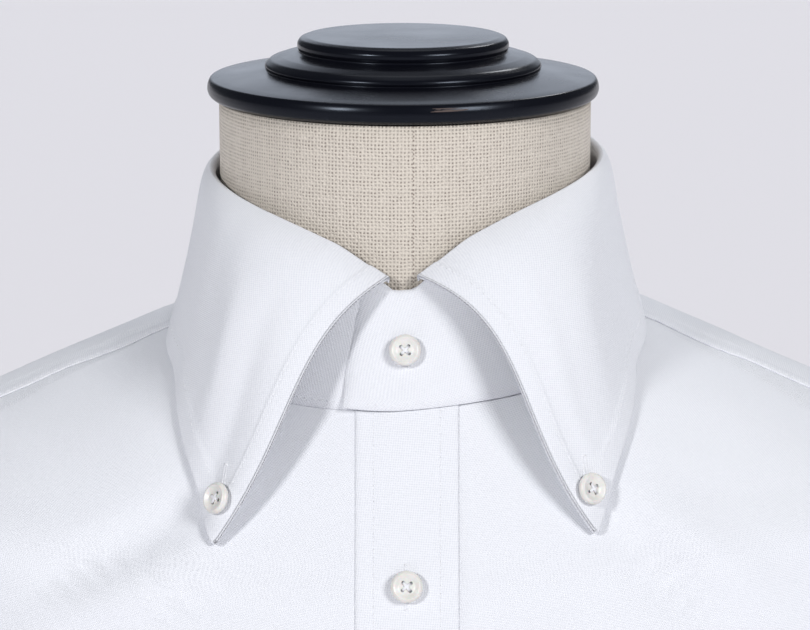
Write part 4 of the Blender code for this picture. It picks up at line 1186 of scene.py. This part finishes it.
collar_thread = bmesh.new()
sew(collar_thread, *leaf_path(*inset_leaf(STITCH_INSET)))
for end in (COLLAR_BUTTON_ALONG / 2, 1 - COLLAR_BUTTON_ALONG / 2):
    work_buttonhole(collar_thread, *leaf_path(*leaf_slit(end)))
round_u = np.linspace(0.012, 0.988, 500)
for height in STAND_STITCH_ROWS:
    stand_v = height + 0 * round_u
    stand_out = -normals_of(stand_surface, round_u, stand_v, STAND_STEP)
    sew(collar_thread, stand_place(round_u, stand_v, np.ones_like(round_u)), stand_out)
collar_stitches = threaded("collar_stitches", collar_thread)
sewn(stand, "collar_stand")
sewn(leaf, "collar_leaf")


# The sleeves hang beside the body, long and a little full, and end in barrel cuffs that lap on
# their outer side.
SLEEVE = (
    # outer line x and z, inner line x and z, half width fore and aft, middle towards the back
    (238, 838, 193.5, 648, 78, 1),
    (262, 806, 195.5, 632, 82, 1),
    (279, 760, 197, 605, 83, 0),
    (286, 700, 200, 570, 80, -2),
    (287, 620, 205, 525, 75, -6),
    (285, 520, 210, 455, 69, -12),
    (282, 420, 214, 385, 63, -19),
    (278, 335, 218, 322, 57, -25),
    (270, 287, 222, 287, 50, -28),
)
SLEEVE_FOLDS = (
    # first degrees round and share along, last ones, half width in degrees, depth, negative for a
    # ridge: the large ones, as in the solids
    (60, 0.06, 95, 0.42, 16, 4.0),
    (115, 0.05, 150, 0.30, 14, 4.5),
    (240, 0.06, 215, 0.34, 15, 4.5),
    (300, 0.08, 268, 0.46, 16, 3.5),
    (40, 0.55, 120, 0.62, 14, 3.5),
    (250, 0.52, 330, 0.60, 14, 3.0),
    (80, 0.75, 70, 1.00, 13, 3.5),
    (275, 0.72, 285, 1.00, 13, 3.5),
    # the sharper ones between them, and the pleats at the cuff
    (20, 0.10, 48, 0.40, 8, -2.2),
    (330, 0.12, 300, 0.38, 8, -2.0),
    (78, 0.16, 118, 0.36, 7, -2.0),
    (268, 0.14, 236, 0.38, 7, -2.0),
    (60, 0.46, 128, 0.53, 9, 2.6),
    (52, 0.50, 122, 0.575, 8, -2.2),
    (48, 0.60, 110, 0.67, 9, 2.4),
    (300, 0.45, 232, 0.52, 9, 2.4),
    (306, 0.49, 240, 0.56, 8, -2.0),
    (312, 0.61, 262, 0.66, 8, 2.0),
    (100, 0.72, 86, 0.98, 7, -2.0),
    (55, 0.76, 50, 0.99, 6, 2.0),
    (256, 0.74, 262, 0.98, 7, -2.0),
    (310, 0.78, 306, 0.99, 6, 2.0),
    (20, 0.70, 28, 0.97, 8, -1.6),
    (128, 0.88, 128, 1.0, 5, 2.2),
    (144, 0.89, 144, 1.0, 5, 2.2),
    (208, 0.90, 208, 1.0, 5, 1.8),
    (228, 0.90, 226, 1.0, 5, 1.8),
    (10, 0.92, 10, 1.0, 5, 1.6),
    (340, 0.92, 342, 1.0, 5, 1.6),
)
SLEEVE_SET_IN, SLEEVE_TUCK_END = 0.045, 0.06
SLEEVE_TUCK, SLEEVE_TUCK_SIDE, SLEEVE_TUCK_DROP = 1.3 * MM, 3.9 * MM, 1.5 * MM
CUFF_TOP, CUFF_BOTTOM = 286.6 * MM, 222 * MM
CUFF_MIDDLE = (246 * MM, -28 * MM)
CUFF_SIDE, CUFF_FORE = 20.5 * MM, 50 * MM
CUFF_LAP, CUFF_LAP_TURN = radians(16), radians(-50)
CUFF_FLARE, CUFF_STEP = 1.5 * MM, 0.002
CUFF_STITCH_U, CUFF_STITCH_V, CUFF_STITCH_RISE = 0.022, 0.09, 0.03 * MM
numbered_sleeve = [(number, *row) for number, row in enumerate(SLEEVE, start=1)]
sleeve_columns = [smooth_column(numbered_sleeve, number) for number in range(1, 7)]


def sleeve_bare(turn, share, side):
    turn = turn % (2 * pi)
    angle, z = armhole_round(turn)
    start = shirt_at(side * angle, z, WALL + SEAM)
    at = share * len(SLEEVE)
    outer_x, outer_z, inner_x, inner_z, fore, middle = [
        column(np.maximum(at, 1)) * MM for column in sleeve_columns
    ]
    centre_x, centre_z = (outer_x + inner_x) / 2, (outer_z + inner_z) / 2
    points = np.stack([
        side * (centre_x + (outer_x - inner_x) / 2 * np.cos(turn)), middle - fore * np.sin(turn),
        centre_z + (outer_z - inner_z) / 2 * np.cos(turn),
    ], axis=-1)
    blend = np.clip(at, 0, 1)[..., None]
    return start + (points - start) * blend


def sleeve_place(side):
    def surface(turn, share):
        return sleeve_bare(turn, share, side)

    def place(u, v, depth):
        turn = u * 2 * pi
        normal = normals_of(surface, turn, inner(v, 0.01), 0.004) * -side
        dent = 0.0
        for turn0, share0, turn1, share1, half_width, deep in SLEEVE_FOLDS:
            part = np.clip((v - share0) / (share1 - share0), 0, 1)
            off = ((u * 360 - turn0 - (turn1 - turn0) * part + 180) % 360 - 180) / half_width
            past = np.maximum(np.maximum(share0 - v, v - share1), 0) / 0.05
            dent = dent + deep * MM * np.exp(-off * off - past * past)
        dent = dent * np.minimum(v * 8, 1) * np.minimum((1 - v) * 6 + 0.25, 1)
        set_in = np.clip(v / SLEEVE_SET_IN, 0, 1)
        tucked = np.clip((v - 1 + SLEEVE_TUCK_END) / SLEEVE_TUCK_END, 0, 1)
        tucked = tucked * tucked * (3 - 2 * tucked)
        tuck = tucked * (SLEEVE_TUCK + SLEEVE_TUCK_SIDE * np.cos(turn) ** 2)
        outwards = WALL * set_in * (2 - set_in) - dent - tuck
        points = surface(turn, v) + normal * (outwards - (1 - depth) * CLOTH)[..., None]
        points[..., 2] -= tucked * SLEEVE_TUCK_DROP
        return points

    return place


def cuff_surface(side):
    def surface(u, v):
        angle = CUFF_LAP * (2 * u - 1) + 2 * pi * u
        start, end = [np.maximum(1 - way / (3 * CUFF_LAP), 0) for way in (angle, 2 * pi - angle)]
        turn = angle + CUFF_LAP_TURN
        wider = CUFF_FLARE * (1 - v) - (WALL + SEAM) * 0.75 * (start - end)
        return np.stack([
            side * (CUFF_MIDDLE[0] + (CUFF_SIDE + wider) * np.cos(turn)),
            CUFF_MIDDLE[1] - (CUFF_FORE + wider) * np.sin(turn),
            CUFF_BOTTOM + (CUFF_TOP - CUFF_BOTTOM) * v + 0 * u,
        ], axis=-1)

    return surface


def cuff_place(side):
    surface = cuff_surface(side)

    def place(u, v, depth):
        normal = normals_of(surface, inner(u, CUFF_STEP), inner(v, CUFF_STEP), CUFF_STEP)
        return surface(u, v) - normal * (side * depth * WALL)[..., None]

    return place


for side, word in SIDES:
    sleeve = cloth(f"sleeve_{word}_cloth", 100, 140, sleeve_place(side), body_cotton, drawn=("top",),
                   ring=True)
    sewn(sleeve, f"sleeve_{word}")
    cuff = cloth(f"cuff_{word}_band", 150, 30, cuff_place(side), collar_cotton, drawn=())
    cuff_thread = bmesh.new()
    lengthways = np.linspace(CUFF_STITCH_U, 1 - CUFF_STITCH_U, 300)
    upright = np.linspace(CUFF_STITCH_V, 1 - CUFF_STITCH_V, 40)
    rows = [(lengthways, v + 0 * lengthways) for v in (CUFF_STITCH_V, 1 - CUFF_STITCH_V)]
    rows += [(u + 0 * upright, upright) for u in (CUFF_STITCH_U, 1 - CUFF_STITCH_U)]
    for u, v in rows:
        out = -side * normals_of(cuff_surface(side), u, v, CUFF_STEP)
        sew(cuff_thread, cuff_place(side)(u, v, np.ones_like(u)) + out * CUFF_STITCH_RISE, out)
    cuff_stitches = threaded(f"cuff_{word}_stitches", cuff_thread)
    sewn(cuff, f"cuff_{word}")


# Buttons: thick cream resin with a raised rim and four holes, sewn on with crossed white thread.
# Two hold the collar points down, one closes the stand, six the placket, and one each cuff.
BUTTON_RADIUS, BUTTON_THICK, BUTTON_FACE = 4.85 * MM, 2.7 * MM, 0.70
BUTTON_LIFT, BUTTON_LIFT_COLLAR, BUTTON_LIFT_CUFF = 0.55 * MM, 0.6 * MM, 0.45 * MM
BUTTON = (
    # radius and height, as shares of the button's own
    (0, BUTTON_FACE), (0.46, BUTTON_FACE), (0.56, 0.76), (0.68, 0.92), (0.80, 1.0), (0.92, 0.90),
    (0.99, 0.64), (0.97, 0.38), (0.86, 0.14), (0.60, 0), (0, 0),
)
HOLE_OFF, HOLE_RADIUS = 1.15 * MM, 0.52 * MM
STRAND_GAP, STRAND_HALF = 0.24 * MM, (2.15 * MM, 0.19 * MM, 0.15 * MM)
CROSSINGS = ((1, 1, 0.22 * MM), (1, -1, 0.34 * MM))     # the way of each, and its height on the face
SHANK_HALF, SHANK_SUNK = 1.1 * MM, 0.25 * MM
RESIN_COLOUR, RESIN_CLOUD = (0.68, 0.665, 0.625, 1), (0.80, 0.79, 0.765, 1)
resin = Finish("cream resin", RESIN_COLOUR[:3], 0.3, Subsurface_Weight=0.15, Subsurface_Scale=0.001)
resin_spot, _ = resin.place(uv=False)
resin_cloud = resin.noise(resin_spot, 330.0, 3.0)
resin.set("Base Color", resin.mix(resin_cloud * 1.6 - 0.3, RESIN_COLOUR, RESIN_CLOUD))
resin.set("Roughness", 0.22 + resin_cloud * 0.2)


def drilled_button():
    """A button blank of the turned outline with four holes drilled through it."""
    blank = turned("button_blank", [(r * BUTTON_RADIUS / MM, h * BUTTON_THICK / MM) for r, h in BUTTON],
                   0, 40, resin)
    drills = bmesh.new()
    for x, y in ((-1, -1), (-1, 1), (1, -1), (1, 1)):
        bmesh.ops.create_cone(
            drills, cap_ends=True, segments=12, radius1=HOLE_RADIUS, radius2=HOLE_RADIUS,
            depth=3 * BUTTON_THICK, matrix=Matrix.Translation((x * HOLE_OFF, y * HOLE_OFF, 0)),
        )
    drill = show("drill", drills, resin)
    cut = blank.modifiers.new("holes", "BOOLEAN")
    cut.object, cut.operation, cut.solver = drill, "DIFFERENCE", "EXACT"
    bpy.context.view_layer.update()
    mesh = bpy.data.meshes.new_from_object(blank.evaluated_get(bpy.context.evaluated_depsgraph_get()))
    for used in (blank, drill):
        bpy.data.objects.remove(used)
    return mesh


button_mesh = drilled_button()


def fasten(node, point, outwards, lift, turn):
    """Sews a button on at a point of the cloth, on a short shank of thread, crossed on its face."""
    outwards = Vector(outwards).normalized()
    stand_up = Vector((0, 0, 1)).rotation_difference(outwards).to_matrix().to_4x4()
    seat = Matrix.Translation(Vector(point) + outwards * lift) @ stand_up @ Matrix.Rotation(turn, 4, "Z")
    bm = bmesh.new()
    bm.from_mesh(button_mesh)
    bmesh.ops.transform(bm, matrix=seat, verts=bm.verts)
    piece = show(node + "_resin", bm, resin)
    piece.data.materials.clear()
    piece.data.materials.append(resin.material)
    piece.data.set_sharp_from_angle(angle=radians(40))
    belong(piece, node)
    thread = bmesh.new()
    up = Vector((0, 0, 1))
    for x, y, rise in CROSSINGS:
        way = Vector((x, y, 0)).normalized()
        for strand in (-1, 0, 1):
            middle = way.cross(up) * strand * STRAND_GAP + up * (BUTTON_THICK * BUTTON_FACE + rise)
            bar(thread, middle, way, up, STRAND_HALF)
    bar(thread, up * -lift / 2, (1, 0, 0), up, (SHANK_HALF, SHANK_HALF, lift / 2 + SHANK_SUNK))
    bmesh.ops.transform(thread, matrix=seat, verts=thread.verts)
    threaded(node + "_thread", thread)


for side, word in SIDES:
    u = np.array(COLLAR_BUTTON_ALONG / 2 if side < 0 else 1 - COLLAR_BUTTON_ALONG / 2)
    v = np.array(COLLAR_BUTTON_DOWN)
    fasten(f"button_collar_{word}", leaf_surface(u, v), normals_of(leaf_surface, u, v, 0.01),
           BUTTON_LIFT_COLLAR, radians(12 * side))
    lap = np.array(1 - CUFF_LAP / (2 * pi + 2 * CUFF_LAP)), np.array(0.5)
    out = -side * normals_of(cuff_surface(side), *lap, CUFF_STEP)
    fasten(f"button_cuff_{word}", cuff_surface(side)(*lap), out, WALL + BUTTON_LIFT_CUFF, radians(8))
stand_spot = stand_place(*STAND_BUTTON, np.array(1.0))
stand_way = -normals_of(stand_surface, *STAND_BUTTON, STAND_STEP)
fasten("button_stand", (0.0, *stand_spot[1:]), (0.0, *stand_way[1:]), BUTTON_LIFT, radians(4))
for number in range(BUTTON_COUNT):
    z = np.array(FIRST_BUTTON - BUTTON_PITCH * number)
    point, out = placket_point(np.array(PLACKET_MIDDLE), z, PLACKET_THICK)
    fasten(f"button_front_{number + 1}", point, out, BUTTON_LIFT, radians(7 * (number % 3) - 6))
bpy.data.meshes.remove(button_mesh)
